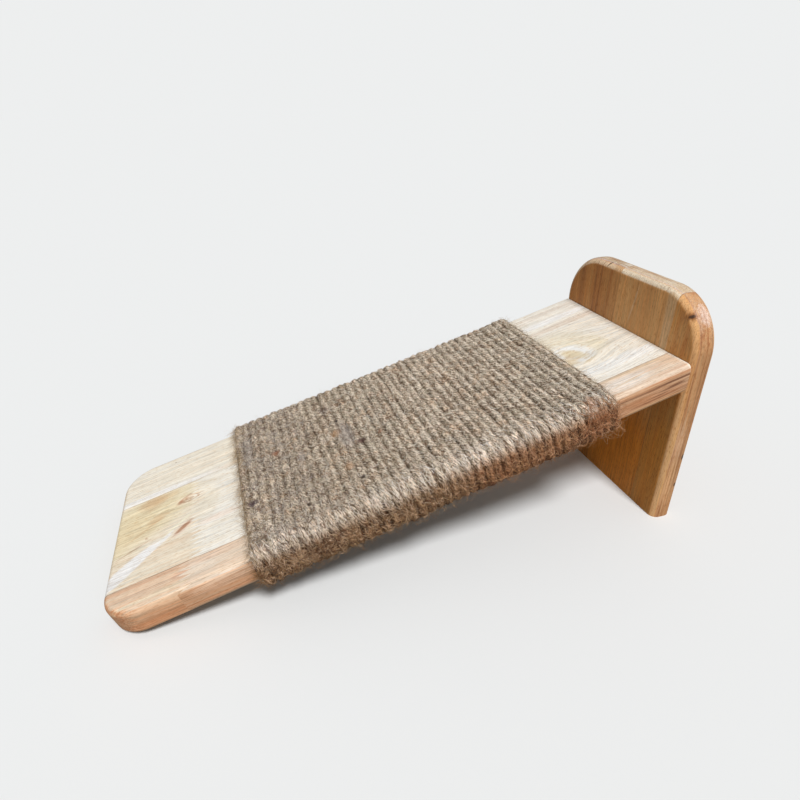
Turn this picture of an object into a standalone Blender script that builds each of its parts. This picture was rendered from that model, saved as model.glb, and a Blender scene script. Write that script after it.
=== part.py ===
"""Cat scratcher: a sloping wooden ramp wound with jute rope, held up by an upright board.

The ramp is a panel of edge-glued staves. Its near and middle staves are each two lamellas that
meet in a finger joint close to the nose. The ramp's rear end is cut on the slope, so that it sits
flat against the upright board, and three countersunk screws come through the board into it. One
rope winds round the ramp as an even helix, and a staple on the underside holds each of its ends.

Units are metres. +X runs up the ramp, +Y runs from the near side to the far side and +Z is up.
The origin is on the floor, under the middle of the whole object.
"""

import math

import bmesh
import bpy
import numpy as np
from mathutils import Euler, Matrix, Vector

# Ramp panel
RAMP_LENGTH = 0.400
RAMP_WIDTH = 0.151
RAMP_THICKNESS = 0.020
RAMP_SLOPE = math.radians(16.05)
RAMP_NOSE_RADIUS = 0.023
RAMP_EDGE_ROUND = 0.004
RAMP_NEAR_STAVE = 0.0222
RAMP_MIDDLE_STAVE = 0.0835

# Finger joints, measured from the nose to the middle of the fingers
NEAR_JOINT_PLACE = 0.052
MIDDLE_JOINT_PLACE = 0.0595
FINGER_LENGTH = 0.010
FINGER_PITCH = 0.004

# Upright board
BOARD_RISE = 0.0434
BOARD_OVERHANG = 0.0007
BOARD_THICKNESS = 0.017
BOARD_CORNER_RADIUS = 0.040
BOARD_EDGE_ROUND = 0.006
BOARD_NEAR_STAVE = 0.0263
BOARD_MIDDLE_STAVE = 0.0603
GLUE_LINE = 0.0003

# Rope winding
ROPE_DIAMETER = 0.0055
ROPE_TURN_GAP = 0.0005
ROPE_SEAT = 0.0003
BARE_NOSE = 0.0935
BARE_REAR = 0.0610
TAIL_SWING = 0.006
CORNER_POINTS = 4
MEASURE_STEP = 0.001

# Rope staples
STAPLE_WIRE = 0.0012
STAPLE_PLAY = 0.0006
STAPLE_DEPTH = 0.008
STAPLE_INSET = 0.010

# Wood screws
SCREW_DIAMETER = 0.004
SCREW_LENGTH = 0.045
SCREW_TIP = 0.006
SCREW_HEAD_DIAMETER = 0.008
SCREW_HEAD_RIM = 0.0004
SCREW_SPACING = 0.040
SCREW_SINK = 0.0003
RECESS_SPAN = 0.0044
RECESS_WIDTH = 0.0010
RECESS_DEPTH = 0.0018

# Clearance round a fastener, and how far a cutter runs past what it cuts
FIT = 0.0003
OVERRUN = 0.010

# Faceting, and the distance below which two points count as one
ROUND_SEGMENTS = 4
CORNER_SEGMENTS = 8
TURNED_STEPS = 20
SAME_PLACE = 0.000001
MERGE_DISTANCE = 0.00001

# Worked out from the sizes above
ROPE_PITCH = ROPE_DIAMETER + ROPE_TURN_GAP
ROPE_RADIUS = ROPE_DIAMETER / 2
ROPE_OFFSET = ROPE_SEAT + ROPE_RADIUS
TURNS = round((RAMP_LENGTH - BARE_NOSE - BARE_REAR + ROPE_TURN_GAP) / ROPE_PITCH)
FRONT_TURNS = (TURNS + 1) // 2
FIRST_TURN = BARE_NOSE + ROPE_RADIUS
LAST_TURN = FIRST_TURN + (TURNS - 1) * ROPE_PITCH

SIN = math.sin(RAMP_SLOPE)
COS = math.cos(RAMP_SLOPE)

WOOD_ORANGE = (0.62, 0.36, 0.19)
WOOD_CREAM = (0.80, 0.68, 0.47)
WOOD_PALE = (0.82, 0.70, 0.52)
WOOD_YELLOW = (0.74, 0.58, 0.32)
WOOD_TAN = (0.55, 0.31, 0.15)

# A finish is a colour, a roughness and a metallic value
WOOD_ROUGHNESS = 0.45
ROPE_FINISH = ((0.30, 0.21, 0.14), 0.90, 0.0)
STEEL_FINISH = ((0.60, 0.60, 0.58), 0.35, 1.0)


def clear_scene():
    """Remove every object, so that the model is alone in its file."""
    for thing in list(bpy.data.objects):
        bpy.data.objects.remove(thing, do_unlink=True)


def new_collection(name):
    """Make a collection under the scene."""
    collection = bpy.data.collections.new(name)
    bpy.context.scene.collection.children.link(collection)
    return collection


def new_material(name, colour, roughness, metallic):
    """Make a plain Principled material."""
    material = bpy.data.materials.new(name)
    material.use_nodes = True
    shader = material.node_tree.nodes["Principled BSDF"]
    shader.inputs["Base Color"].default_value = (*colour, 1.0)
    shader.inputs["Roughness"].default_value = roughness
    shader.inputs["Metallic"].default_value = metallic
    return material


def new_object(name, data, collection, frame=None, finish=None):
    """Put mesh or curve data in a collection, under a frame if there is one."""
    thing = bpy.data.objects.new(name, data)
    collection.objects.link(thing)
    thing.parent = frame
    if finish:
        thing.data.materials.append(new_material(name, *finish))
    return thing


def mark_as_cutter(thing):
    """Show a helper as wire and leave it out of the finished model."""
    thing.hide_render = True
    thing.display_type = "WIRE"
    return thing


def new_frame(name, collection, place, turn):
    """Make an empty that carries the pieces of one sub-assembly."""
    frame = bpy.data.objects.new(name, None)
    frame.location = place
    frame.rotation_euler = Euler((0.0, turn, 0.0))
    collection.objects.link(frame)
    return frame


def add_boolean(thing, operation, cutter=None, cutters=None):
    """Add a Boolean modifier with one object or a whole collection."""
    modifier = thing.modifiers.new(operation.lower(), "BOOLEAN")
    modifier.operation = operation
    if cutters:
        modifier.operand_type = "COLLECTION"
        modifier.collection = cutters
    else:
        modifier.object = cutter


def headed_panel(name, length, width, thickness, corner_radius, edge_round, end_slope):
    """A flat panel from X = 0 with two round corners there and all long edges rounded over.

    The other end is plain, and is cut across at end_slope from square, through the upper edge
    at X = length.
    """
    mesh = bpy.data.meshes.new(name)
    body = bmesh.new()
    reach = length + OVERRUN
    bmesh.ops.create_cube(body, size=1.0)
    bmesh.ops.scale(body, vec=(reach, width, thickness), verts=body.verts)
    bmesh.ops.translate(body, vec=(reach / 2, 0.0, thickness / 2), verts=body.verts)
    corners = [edge for edge in body.edges if all(vert.co.x < OVERRUN / 2 for vert in edge.verts)]
    corners = [edge for edge in corners if abs(edge.verts[0].co.z - edge.verts[1].co.z) > thickness / 2]
    bmesh.ops.bevel(body, geom=corners, offset=corner_radius, segments=CORNER_SEGMENTS,
                    profile=0.5, affect="EDGES")
    rims = [edge for edge in body.edges if is_rim(edge, reach)]
    bmesh.ops.bevel(body, geom=rims, offset=edge_round, segments=ROUND_SEGMENTS,
                    profile=0.5, affect="EDGES")
    normal = Vector((math.cos(end_slope), 0.0, -math.sin(end_slope)))
    cut = bmesh.ops.bisect_plane(body, geom=body.verts[:] + body.edges[:] + body.faces[:],
                                 plane_co=(length, 0.0, thickness), plane_no=normal, clear_outer=True)
    ring = [item for item in cut["geom_cut"] if isinstance(item, bmesh.types.BMEdge)]
    bmesh.ops.contextual_create(body, geom=ring)
    bmesh.ops.recalc_face_normals(body, faces=body.faces)
    body.to_mesh(mesh)
    body.free()
    return mesh


def is_rim(edge, reach):
    """True for an edge that runs round the upper or lower face, except across the plain end."""
    level = abs(edge.verts[0].co.z - edge.verts[1].co.z) < SAME_PLACE
    at_end = all(abs(vert.co.x - reach) < SAME_PLACE for vert in edge.verts)
    return level and not at_end


def straight_end(place, low, high):
    """A stave's plain end, as points across it."""
    return [(place, low), (place, high)]


def finger_end(place, low, high):
    """A stave's finger-jointed end, as points across it."""
    fingers = max(1, round((high - low) / FINGER_PITCH))
    step = (high - low) / (2 * fingers)
    half = FINGER_LENGTH / 2
    return [(place + half * (-1) ** i, low + i * step) for i in range(2 * fingers + 1)]


def outline_prism(name, outline, low, high, collection, frame):
    """A closed prism over a flat outline, from one height to another."""
    curve = bpy.data.curves.new(name, "CURVE")
    curve.dimensions = "2D"
    curve.fill_mode = "BOTH"
    curve.extrude = (high - low) / 2
    spline = curve.splines.new("POLY")
    spline.points.add(len(outline) - 1)
    for point, (x, y) in zip(spline.points, outline):
        point.co = (x, y, 0.0, 1.0)
    spline.use_cyclic_u = True
    drawn = new_object(name, curve, collection)
    bpy.context.view_layer.update()
    evaluated = drawn.evaluated_get(bpy.context.evaluated_depsgraph_get())
    mesh = bpy.data.meshes.new_from_object(evaluated)
    bpy.data.objects.remove(drawn, do_unlink=True)
    body = bmesh.new()
    body.from_mesh(mesh)
    bmesh.ops.remove_doubles(body, verts=body.verts, dist=SAME_PLACE)
    bmesh.ops.translate(body, vec=(0.0, 0.0, (low + high) / 2), verts=body.verts)
    bmesh.ops.recalc_face_normals(body, faces=body.faces)
    body.to_mesh(mesh)
    body.free()
    return new_object(name, mesh, collection, frame)


def add_stave(name, front, rear, blank, thickness, place, bores, colour):
    """One stave or lamella: the part of a panel's blank between two ends, less the bores."""
    outline = rear + front[::-1]
    stave = outline_prism(name, outline, -OVERRUN, thickness + OVERRUN, place, blank.parent)
    stave.data.materials.append(new_material(name, colour, WOOD_ROUGHNESS, 0.0))
    add_boolean(stave, "INTERSECT", cutter=blank)
    add_boolean(stave, "DIFFERENCE", cutters=bores)


def add_ramp(parts, cutters, bores, frame):
    """The ramp's panel as five lamellas."""
    mesh = headed_panel("ramp_blank", RAMP_LENGTH, RAMP_WIDTH, RAMP_THICKNESS,
                        RAMP_NOSE_RADIUS, RAMP_EDGE_ROUND, RAMP_SLOPE)
    blank = mark_as_cutter(new_object("ramp_blank", mesh, cutters, frame))
    side = RAMP_WIDTH / 2 + OVERRUN
    first = -RAMP_WIDTH / 2 + RAMP_NEAR_STAVE
    second = first + RAMP_MIDDLE_STAVE
    nose = -OVERRUN
    rear = RAMP_LENGTH + 2 * OVERRUN
    lamellas = [
        ("ramp_lamella_near_front", straight_end(nose, -side, first),
         finger_end(NEAR_JOINT_PLACE, -side, first), WOOD_ORANGE),
        ("ramp_lamella_near_rear", finger_end(NEAR_JOINT_PLACE, -side, first),
         straight_end(rear, -side, first), WOOD_ORANGE),
        ("ramp_lamella_middle_front", straight_end(nose, first, second),
         finger_end(MIDDLE_JOINT_PLACE, first, second), WOOD_YELLOW),
        ("ramp_lamella_middle_rear", finger_end(MIDDLE_JOINT_PLACE, first, second),
         straight_end(rear, first, second), WOOD_CREAM),
        ("ramp_stave_far", straight_end(nose, second, side),
         straight_end(rear, second, side), WOOD_PALE),
    ]
    for name, front_end, rear_end, colour in lamellas:
        add_stave(name, front_end, rear_end, blank, RAMP_THICKNESS, parts, bores, colour)


def add_board(parts, cutters, bores, frame, height):
    """The upright board's panel as three staves. Its own X runs down from its top edge."""
    width = RAMP_WIDTH + 2 * BOARD_OVERHANG
    mesh = headed_panel("board_blank", height, width, BOARD_THICKNESS,
                        BOARD_CORNER_RADIUS, BOARD_EDGE_ROUND, 0.0)
    blank = mark_as_cutter(new_object("board_blank", mesh, cutters, frame))
    side = width / 2 + OVERRUN
    first = -width / 2 + BOARD_NEAR_STAVE
    second = first + BOARD_MIDDLE_STAVE
    edges = {"near": (-side, first), "middle": (first, second), "far": (second, side)}
    for where, (low, high) in edges.items():
        add_stave("board_stave_" + where, straight_end(-OVERRUN, low, high),
                  straight_end(height + 2 * OVERRUN, low, high), blank,
                  BOARD_THICKNESS, parts, bores, WOOD_TAN)


def turned_mesh(name, profile):
    """Turn a profile of (radius, height) points, top to bottom, about Z."""
    mesh = bpy.data.meshes.new(name)
    points = [(radius, 0.0, height) for radius, height in profile]
    mesh.from_pydata(points, [(i, i + 1) for i in range(len(points) - 1)], [])
    return mesh


def add_turning(thing):
    """Turn an object's profile into a closed solid."""
    screw = thing.modifiers.new("turning", "SCREW")
    screw.axis = "Z"
    screw.steps = TURNED_STEPS
    screw.render_steps = TURNED_STEPS
    screw.use_merge_vertices = True
    screw.merge_threshold = MERGE_DISTANCE
    screw.use_smooth_shade = True


def screw_profile(grow, above):
    """A countersunk screw's half section, grown all round by a clearance, from above its head."""
    head = SCREW_HEAD_DIAMETER / 2 + grow
    shank = SCREW_DIAMETER / 2 + grow
    cone_top = -SCREW_HEAD_RIM
    cone_foot = cone_top - (SCREW_HEAD_DIAMETER - SCREW_DIAMETER) / 2 - grow / 2
    return [(0.0, above), (head, above), (head, cone_top), (shank, cone_foot),
            (shank, -SCREW_LENGTH + SCREW_TIP), (0.0, -SCREW_LENGTH - grow)]


def plus_outline(span, width):
    """A cross-shaped outline, worked out for one arm and turned for the others."""
    arm = [(span / 2, -width / 2), (span / 2, width / 2), (width / 2, width / 2)]
    points = []
    for quarter in range(4):
        turn = Matrix.Rotation(quarter * math.pi / 2, 2)
        points += [tuple(turn @ Vector(point)) for point in arm]
    return points


def add_screws(parts, cutters, bores, board_back, joint_height):
    """Three screws through the board into the ramp's end, each in its own clearance bore."""
    engaged = SCREW_LENGTH + SCREW_SINK - BOARD_THICKNESS
    height = joint_height - engaged / 2 * SIN / COS
    turn = (0.0, math.pi / 2, 0.0)
    for where, side in (("near", -1), ("middle", 0), ("far", 1)):
        place = (board_back - SCREW_SINK, side * SCREW_SPACING, height)
        name = "wood_screw_" + where
        screw = new_object(name, turned_mesh(name, screw_profile(0.0, 0.0)), parts,
                           finish=STEEL_FINISH)
        add_turning(screw)
        bore = new_object(name + "_bore", turned_mesh(name + "_bore", screw_profile(FIT, OVERRUN)),
                          bores)
        add_turning(mark_as_cutter(bore))
        recess = outline_prism(name + "_recess", plus_outline(RECESS_SPAN, RECESS_WIDTH),
                               -RECESS_DEPTH, OVERRUN, cutters, None)
        for thing in (screw, bore, mark_as_cutter(recess)):
            thing.location = place
            thing.rotation_euler = turn
        add_boolean(screw, "DIFFERENCE", cutter=recess)


def wire_object(name, route, radius, sides_step, collection, frame, finish):
    """A round wire or rope along straight runs between points, with closed ends."""
    curve = bpy.data.curves.new(name, "CURVE")
    curve.dimensions = "3D"
    curve.bevel_depth = radius
    curve.bevel_resolution = sides_step
    curve.use_fill_caps = True
    spline = curve.splines.new("POLY")
    spline.points.add(len(route) - 1)
    for point, place in zip(spline.points, route):
        point.co = (*place, 1.0)
    return new_object(name, curve, collection, frame, finish)


def turn_points(turn):
    """One turn of rope, from the ramp's far lower corner round to its near lower one.

    The rope moves on evenly, by one pitch in a whole turn, and is at the turn's own place in the
    middle of the top. The points lie outside the true path, so that the runs between them touch it.
    """
    step = math.pi / 2 / CORNER_POINTS
    reach = (RAMP_EDGE_ROUND + ROPE_OFFSET) / math.cos(step / 2)
    arc = (RAMP_EDGE_ROUND + ROPE_OFFSET) * math.pi / 2
    side = RAMP_WIDTH / 2 - RAMP_EDGE_ROUND
    low, high = RAMP_EDGE_ROUND, RAMP_THICKNESS - RAMP_EDGE_ROUND
    girth = 4 * side + 2 * (high - low) + 4 * arc
    corners = [(side, low, side), (side, high, high - low), (-side, high, 2 * side),
               (-side, low, high - low)]
    gone = 0.0
    points = []
    for corner, (y, z, straight) in enumerate(corners):
        gone += straight
        for i in range(CORNER_POINTS):
            share = (i + 0.5) / CORNER_POINTS
            angle = (corner - 1 + share) * math.pi / 2
            x = FIRST_TURN + (turn - 0.5 + (gone + share * arc) / girth) * ROPE_PITCH
            points.append((x, y + reach * math.cos(angle), z + reach * math.sin(angle)))
        gone += arc
    return points


def underside_point(start, end, y):
    """The point at a given Y on the straight run between two points under the ramp."""
    share = (y - start[1]) / (end[1] - start[1])
    return (start[0] + share * (end[0] - start[0]), y, start[2])


def winding_routes():
    """The rope's centre line, front part and rear part, with a small gap between the two."""
    front = [point for turn in range(FRONT_TURNS) for point in turn_points(turn)]
    rear = [point for turn in range(FRONT_TURNS, TURNS) for point in turn_points(turn)]
    leave, arrive = front[-1], rear[0]
    front_end = underside_point(leave, arrive, -ROPE_SEAT / 2)
    rear_start = underside_point(leave, arrive, ROPE_SEAT / 2)
    first_tail = (FIRST_TURN - TAIL_SWING, 0.0, -ROPE_OFFSET)
    last_tail = (LAST_TURN + TAIL_SWING, 0.0, -ROPE_OFFSET)
    return [first_tail] + front + [front_end], [rear_start] + rear + [last_tail]


def least_gap(route):
    """The least clear distance from a rope to another stretch of itself, from points along it."""
    samples = []
    for start, end in zip(route, route[1:]):
        start, end = np.array(start), np.array(end)
        count = max(1, round(np.linalg.norm(end - start) / MEASURE_STEP))
        samples += [start + (end - start) * i / count for i in range(count)]
    samples = np.array(samples)
    travel = np.r_[0.0, np.cumsum(np.linalg.norm(np.diff(samples, axis=0), axis=1))]
    least = math.inf
    for i, sample in enumerate(samples):
        apart = samples[i:][travel[i:] - travel[i] > 3 * ROPE_DIAMETER]
        if len(apart):
            least = min(least, np.linalg.norm(apart - sample, axis=1).min())
    return least - ROPE_DIAMETER


def add_winding(parts, frame):
    """The rope round the ramp, as a front and a rear tube."""
    for where, route in zip(("front", "rear"), winding_routes()):
        name = "rope_winding_" + where
        wire_object(name, route, ROPE_RADIUS, 1, parts, frame, ROPE_FINISH)
        print(f"{name}: least gap to itself {least_gap(route) * 1000:.2f} mm")


def add_staple(name, along, y, parts, bores, frame):
    """A wire staple across a rope end under the ramp, with its two holes."""
    half = ROPE_RADIUS + STAPLE_PLAY + STAPLE_WIRE / 2
    crown = -ROPE_SEAT - ROPE_DIAMETER - ROPE_SEAT - STAPLE_WIRE / 2
    bend = STAPLE_WIRE
    low, high = along - half, along + half
    route = [(low, y, STAPLE_DEPTH), (low, y, crown + bend), (low + bend, y, crown),
             (high - bend, y, crown), (high, y, crown + bend), (high, y, STAPLE_DEPTH)]
    wire_object(name, route, STAPLE_WIRE / 2, 2, parts, frame, STEEL_FINISH)
    for leg, x in (("near", low), ("far", high)):
        radius = STAPLE_WIRE / 2 + FIT
        profile = [(0.0, STAPLE_DEPTH + FIT), (radius, STAPLE_DEPTH + FIT), (radius, -OVERRUN),
                   (0.0, -OVERRUN)]
        hole_name = f"{name}_hole_{leg}"
        hole = mark_as_cutter(new_object(hole_name, turned_mesh(hole_name, profile), bores, frame))
        hole.location = (x, y, 0.0)
        add_turning(hole)


def add_staples(parts, bores, frame):
    """One staple over each end of the rope."""
    front, rear = winding_routes()
    first = underside_point(front[0], front[1], STAPLE_INSET)
    last = underside_point(rear[-2], rear[-1], -STAPLE_INSET)
    add_staple("rope_staple_front", first[0], first[1], parts, bores, frame)
    add_staple("rope_staple_rear", last[0], last[1], parts, bores, frame)


def main():
    """Build the scratcher."""
    clear_scene()
    parts = new_collection("cat_scratcher")
    cutters = new_collection("cutters")
    bores = new_collection("bores")

    # The nose rolls on its lower rounded edge, and the two ends of the object are level about X = 0.
    rounding = RAMP_EDGE_ROUND
    ramp_lift = rounding * (1.0 - SIN - COS)
    nose_reach = rounding * COS - (RAMP_THICKNESS - rounding) * SIN - rounding
    board_reach = RAMP_LENGTH * COS - RAMP_THICKNESS * SIN + GLUE_LINE
    ramp_start = -(nose_reach + board_reach + BOARD_THICKNESS) / 2
    board_front = ramp_start + board_reach
    board_back = board_front + BOARD_THICKNESS
    ramp_top = ramp_lift + RAMP_LENGTH * SIN + RAMP_THICKNESS * COS
    board_height = ramp_top + BOARD_RISE
    joint_height = ramp_top - RAMP_THICKNESS / COS / 2

    ramp_frame = new_frame("ramp_frame", parts, (ramp_start, 0.0, ramp_lift), -RAMP_SLOPE)
    board_frame = new_frame("board_frame", parts, (board_front, 0.0, board_height), math.pi / 2)
    add_screws(parts, cutters, bores, board_back, joint_height)
    add_staples(parts, bores, ramp_frame)
    add_ramp(parts, cutters, bores, ramp_frame)
    add_board(parts, cutters, bores, board_frame, board_height)
    add_winding(parts, ramp_frame)

    print(f"turns of rope: {TURNS}")
    print(f"board front at X = {board_front * 1000:.3f} mm, back at {board_back * 1000:.3f} mm")
    print(f"board height {board_height * 1000:.3f} mm, ramp frame at X = {ramp_start * 1000:.3f} mm")


main()
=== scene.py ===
"""Cat scratcher: a sloping wooden ramp wound with jute rope and held up by an upright board.

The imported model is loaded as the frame. The staves, the rope and the fasteners are then rebuilt
finer in the places that the frame gives them, and dressed. Units are metres: +X runs up the ramp,
+Y from its near side to its far side, and +Z is up. Both panels have a frame of their own, in
which X runs along the grain from the rounded end and Z goes from one face to the other.
"""

from __future__ import annotations

import logging
import math
from collections.abc import Iterator, Sequence
from dataclasses import dataclass, field
from enum import Enum
from typing import Any

import bmesh
import bpy
import numpy as np
from bpy.types import Material, Mesh, NodeSocket, Object
from mathutils import Matrix, Vector


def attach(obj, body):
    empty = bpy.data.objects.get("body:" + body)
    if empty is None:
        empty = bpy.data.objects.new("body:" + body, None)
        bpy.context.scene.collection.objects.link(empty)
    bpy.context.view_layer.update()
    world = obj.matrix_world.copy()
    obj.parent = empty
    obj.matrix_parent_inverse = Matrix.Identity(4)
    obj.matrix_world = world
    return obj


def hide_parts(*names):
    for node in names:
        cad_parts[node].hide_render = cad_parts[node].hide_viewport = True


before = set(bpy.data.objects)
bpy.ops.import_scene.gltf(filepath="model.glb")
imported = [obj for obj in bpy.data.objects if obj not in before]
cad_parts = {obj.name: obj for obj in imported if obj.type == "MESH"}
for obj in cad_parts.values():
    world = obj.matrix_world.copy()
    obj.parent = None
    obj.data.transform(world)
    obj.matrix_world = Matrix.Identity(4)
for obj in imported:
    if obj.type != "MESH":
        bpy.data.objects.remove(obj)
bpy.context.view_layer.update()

logging.basicConfig(level=logging.INFO, format="%(message)s")
log = logging.getLogger("cat_scratcher")

Colour = tuple[float, float, float]
Point2 = tuple[float, float]
Array = np.ndarray

BODY = "root"
MM = 0.001
SHARP_ANGLE = math.radians(35)


class Blend(Enum):
    """How one colour goes over another."""

    COVER = "MIX"
    TINT = "MULTIPLY"


class Cut(Enum):
    """What a cutting shape leaves of a piece."""

    INSIDE = "INTERSECT"
    OUTSIDE = "DIFFERENCE"


class Twist(Enum):
    """Which way the fibres wind round a rope, as seen along it."""

    LEFT = -1.0
    RIGHT = 1.0


class Wire:
    """A socket that takes part in sums: each operator adds one Math node."""

    def __init__(self, sheet: Sheet, socket: NodeSocket) -> None:
        """Hold an output socket and the sheet that its node is on."""
        self.sheet = sheet
        self.socket = socket

    def maths(self, operation: str, *values: Wire | float) -> Wire:
        """Add a Math node with the values in its sockets, in order."""
        return self.sheet.add("ShaderNodeMath", {"operation": operation}, dict(enumerate(values)))

    def __add__(self, other: Wire | float) -> Wire:
        """Sum."""
        return self.maths("ADD", self, other)

    def __radd__(self, other: float) -> Wire:
        """Sum with a number on the left."""
        return self.maths("ADD", other, self)

    def __sub__(self, other: Wire | float) -> Wire:
        """Difference."""
        return self.maths("SUBTRACT", self, other)

    def __rsub__(self, other: float) -> Wire:
        """Difference from a number on the left."""
        return self.maths("SUBTRACT", other, self)

    def __mul__(self, other: Wire | float) -> Wire:
        """Product."""
        return self.maths("MULTIPLY", self, other)

    def __rmul__(self, other: float) -> Wire:
        """Product with a number on the left."""
        return self.maths("MULTIPLY", other, self)

    def __truediv__(self, other: Wire | float) -> Wire:
        """Quotient."""
        return self.maths("DIVIDE", self, other)

    def __rtruediv__(self, other: float) -> Wire:
        """Quotient of a number on the left."""
        return self.maths("DIVIDE", other, self)

    def root(self) -> Wire:
        """Square root."""
        return self.maths("SQRT", self)

    def sine(self) -> Wire:
        """Sine of an angle in radians."""
        return self.maths("SINE", self)

    def size(self) -> Wire:
        """Absolute value."""
        return self.maths("ABSOLUTE", self)

    def at_most(self, other: Wire | float) -> Wire:
        """The smaller of two values."""
        return self.maths("MINIMUM", self, other)

    def at_least(self, other: Wire | float) -> Wire:
        """The larger of two values."""
        return self.maths("MAXIMUM", self, other)

    def eased(self, start: float, end: float) -> Wire:
        """Go smoothly from 0 to 1, or from 1 to 0 where the end lies below the start.

        Args:
            start: The value at which the change begins.
            end: The value at which it is over.

        Returns:
            A value from 0 to 1.
        """
        low, high = min(start, end), max(start, end)
        limits = {0: self, 1: low, 2: high, 3: float(start > end), 4: float(start < end)}
        return self.sheet.add("ShaderNodeMapRange", {"interpolation_type": "SMOOTHSTEP"}, limits)


class Sheet:
    """The node tree of one material, with its shader."""

    def __init__(self, name: str, roughness: float, metallic: float = 0) -> None:
        """Make the material.

        Args:
            name: The material's name.
            roughness: The shader's roughness where nothing is linked to it.
            metallic: 1 for metal and 0 for anything else.
        """
        self.material = bpy.data.materials.new(name)
        self.material.use_nodes = True
        self.tree = self.material.node_tree
        self.shader = self.tree.nodes["Principled BSDF"]
        self.set("Roughness", roughness)
        self.set("Metallic", metallic)

    def set(self, socket: str, value: Wire | float | Colour) -> None:
        """Give a socket of the shader a value or a link."""
        self._fill(self.shader.inputs[socket], value)

    def add(self, kind: str, settings: dict[str, Any], sockets: dict[int | str, Any],
            output: int | str = 0) -> Wire:
        """Add a node.

        Args:
            kind: The node's type.
            settings: Its properties, which are set first.
            sockets: The values or links of its inputs, by number or name.
            output: Which output is wanted.

        Returns:
            That output.
        """
        node = self.tree.nodes.new(kind)
        for name, value in settings.items():
            setattr(node, name, value)
        for name, value in sockets.items():
            self._fill(node.inputs[name], value)
        return Wire(self, node.outputs[output])

    def _fill(self, socket: NodeSocket, value: Wire | float | Sequence[float]) -> None:
        """Link a wire to a socket, or set the socket's own value.

        Args:
            socket: The input socket.
            value: The wire, number, vector or colour.
        """
        if isinstance(value, Wire):
            self.tree.links.new(value.socket, socket)
        elif socket.type == "RGBA":
            socket.default_value = (*value, 1)
        else:
            socket.default_value = value

    def mix(self, share: Wire | float, first: Wire | Colour, second: Wire | Colour,
            blend: Blend = Blend.COVER) -> Wire:
        """Lay a share of the second colour over the first."""
        settings = {"data_type": "RGBA", "blend_type": blend.value, "clamp_factor": True}
        return self.add("ShaderNodeMix", settings, {0: share, 6: first, 7: second}, 2)

    def tinted(self, share: Wire | float, colour: Wire, tint: Wire | Colour) -> Wire:
        """Multiply a colour by another where the share is 1, and leave it where the share is 0."""
        return self.mix(share, colour, tint, Blend.TINT)

    def shaded(self, colour: Wire, shade: Wire) -> Wire:
        """Multiply a colour by one value."""
        return self.tinted(1, colour, self.joined(shade, shade, shade))

    def millimetres(self) -> Wire:
        """The place on the piece, in millimetres of its own frame."""
        local = self.add("ShaderNodeTexCoord", {}, {}, "Object")
        return self.add("ShaderNodeVectorMath", {"operation": "SCALE"}, {0: local, "Scale": 1 / MM})

    def parts(self, vector: Wire) -> tuple[Wire, Wire, Wire]:
        """Split a vector.

        Args:
            vector: The vector.

        Returns:
            Its X, Y and Z.
        """
        first = self.add("ShaderNodeSeparateXYZ", {}, {0: vector})
        outputs = first.socket.node.outputs
        return first, Wire(self, outputs[1]), Wire(self, outputs[2])

    def joined(self, x: Wire | float, y: Wire | float, z: Wire | float) -> Wire:
        """Make a vector of three values."""
        return self.add("ShaderNodeCombineXYZ", {}, {0: x, 1: y, 2: z})

    def noise(self, place: Wire, grain: Sequence[float], seed: float, detail: float = 2,
              rough: float = 0.5, curl: float = 0) -> Wire:
        """Cloudy noise whose features have the given size along each axis.

        Args:
            place: The point, in millimetres.
            grain: The size of a feature along X, Y and Z, in millimetres.
            seed: Moves the noise, so that no two are alike.
            detail: How many finer layers it has.
            rough: How strong the finer layers are.
            curl: How far it is twisted out of line.

        Returns:
            A value about 0.5, from 0 to 1.
        """
        scale = tuple(1 / size for size in grain)
        shift = (seed * 3.7, seed * 5.3, seed * 7.9)
        moved = self.add("ShaderNodeVectorMath", {"operation": "MULTIPLY_ADD"},
                         {0: place, 1: scale, 2: shift})
        sockets = {"Vector": moved, "Scale": 1, "Detail": detail, "Roughness": rough,
                   "Distortion": curl}
        return self.add("ShaderNodeTexNoise", {"noise_dimensions": "3D"}, sockets, "Fac")

    def bumped(self, height: Wire, depth: float, strength: float) -> None:
        """Raise the shader's surface by a height map, where 1 stands for the depth in metres."""
        sockets = {"Height": height, "Distance": depth, "Strength": strength}
        self.set("Normal", self.add("ShaderNodeBump", {}, sockets))


@dataclass(frozen=True)
class Spot:
    """A point of a piece, in millimetres, and the noise that breaks up the marks' edges there."""

    x: Wire
    y: Wire
    z: Wire
    rough: Wire


@dataclass(frozen=True)
class Smudge:
    """A soft-edged oval mark on the wood, such as a patch, a band or a slit.

    Attributes:
        place: Its middle on the panel, along and across the grain, in millimetres.
        reach: Its half length and half width, in millimetres.
        colour: Its colour.
        strength: How much it covers.
        tilt: How far it is turned from the grain, in degrees.
        ragged: How broken its edge is.
        depth: Its middle and half height through the panel, or none for the panel's whole depth.
        soft: How much of it is its soft edge, from 0 to 1.
    """

    place: Point2
    reach: Point2
    colour: Colour
    strength: float = 0.6
    tilt: float = 0.0
    ragged: float = 0.5
    depth: Point2 | None = None
    soft: float = 0.9

    def cover(self, spot: Spot) -> Wire:
        """How much of its colour the mark lays over a point.

        Args:
            spot: The point.

        Returns:
            A share from 0 to 1.
        """
        cos, sin = math.cos(math.radians(self.tilt)), math.sin(math.radians(self.tilt))
        along, across = spot.x - self.place[0], spot.y - self.place[1]
        long = (along * cos + across * sin) / self.reach[0]
        wide = (across * cos - along * sin) / self.reach[1]
        reach = long * long + wide * wide + (spot.rough - 0.5) * (2 * self.ragged)
        if self.depth is not None:
            high = (spot.z - self.depth[0]) / self.depth[1]
            reach = reach + high * high
        return reach.eased(1, 1 - self.soft) * self.strength


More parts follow.
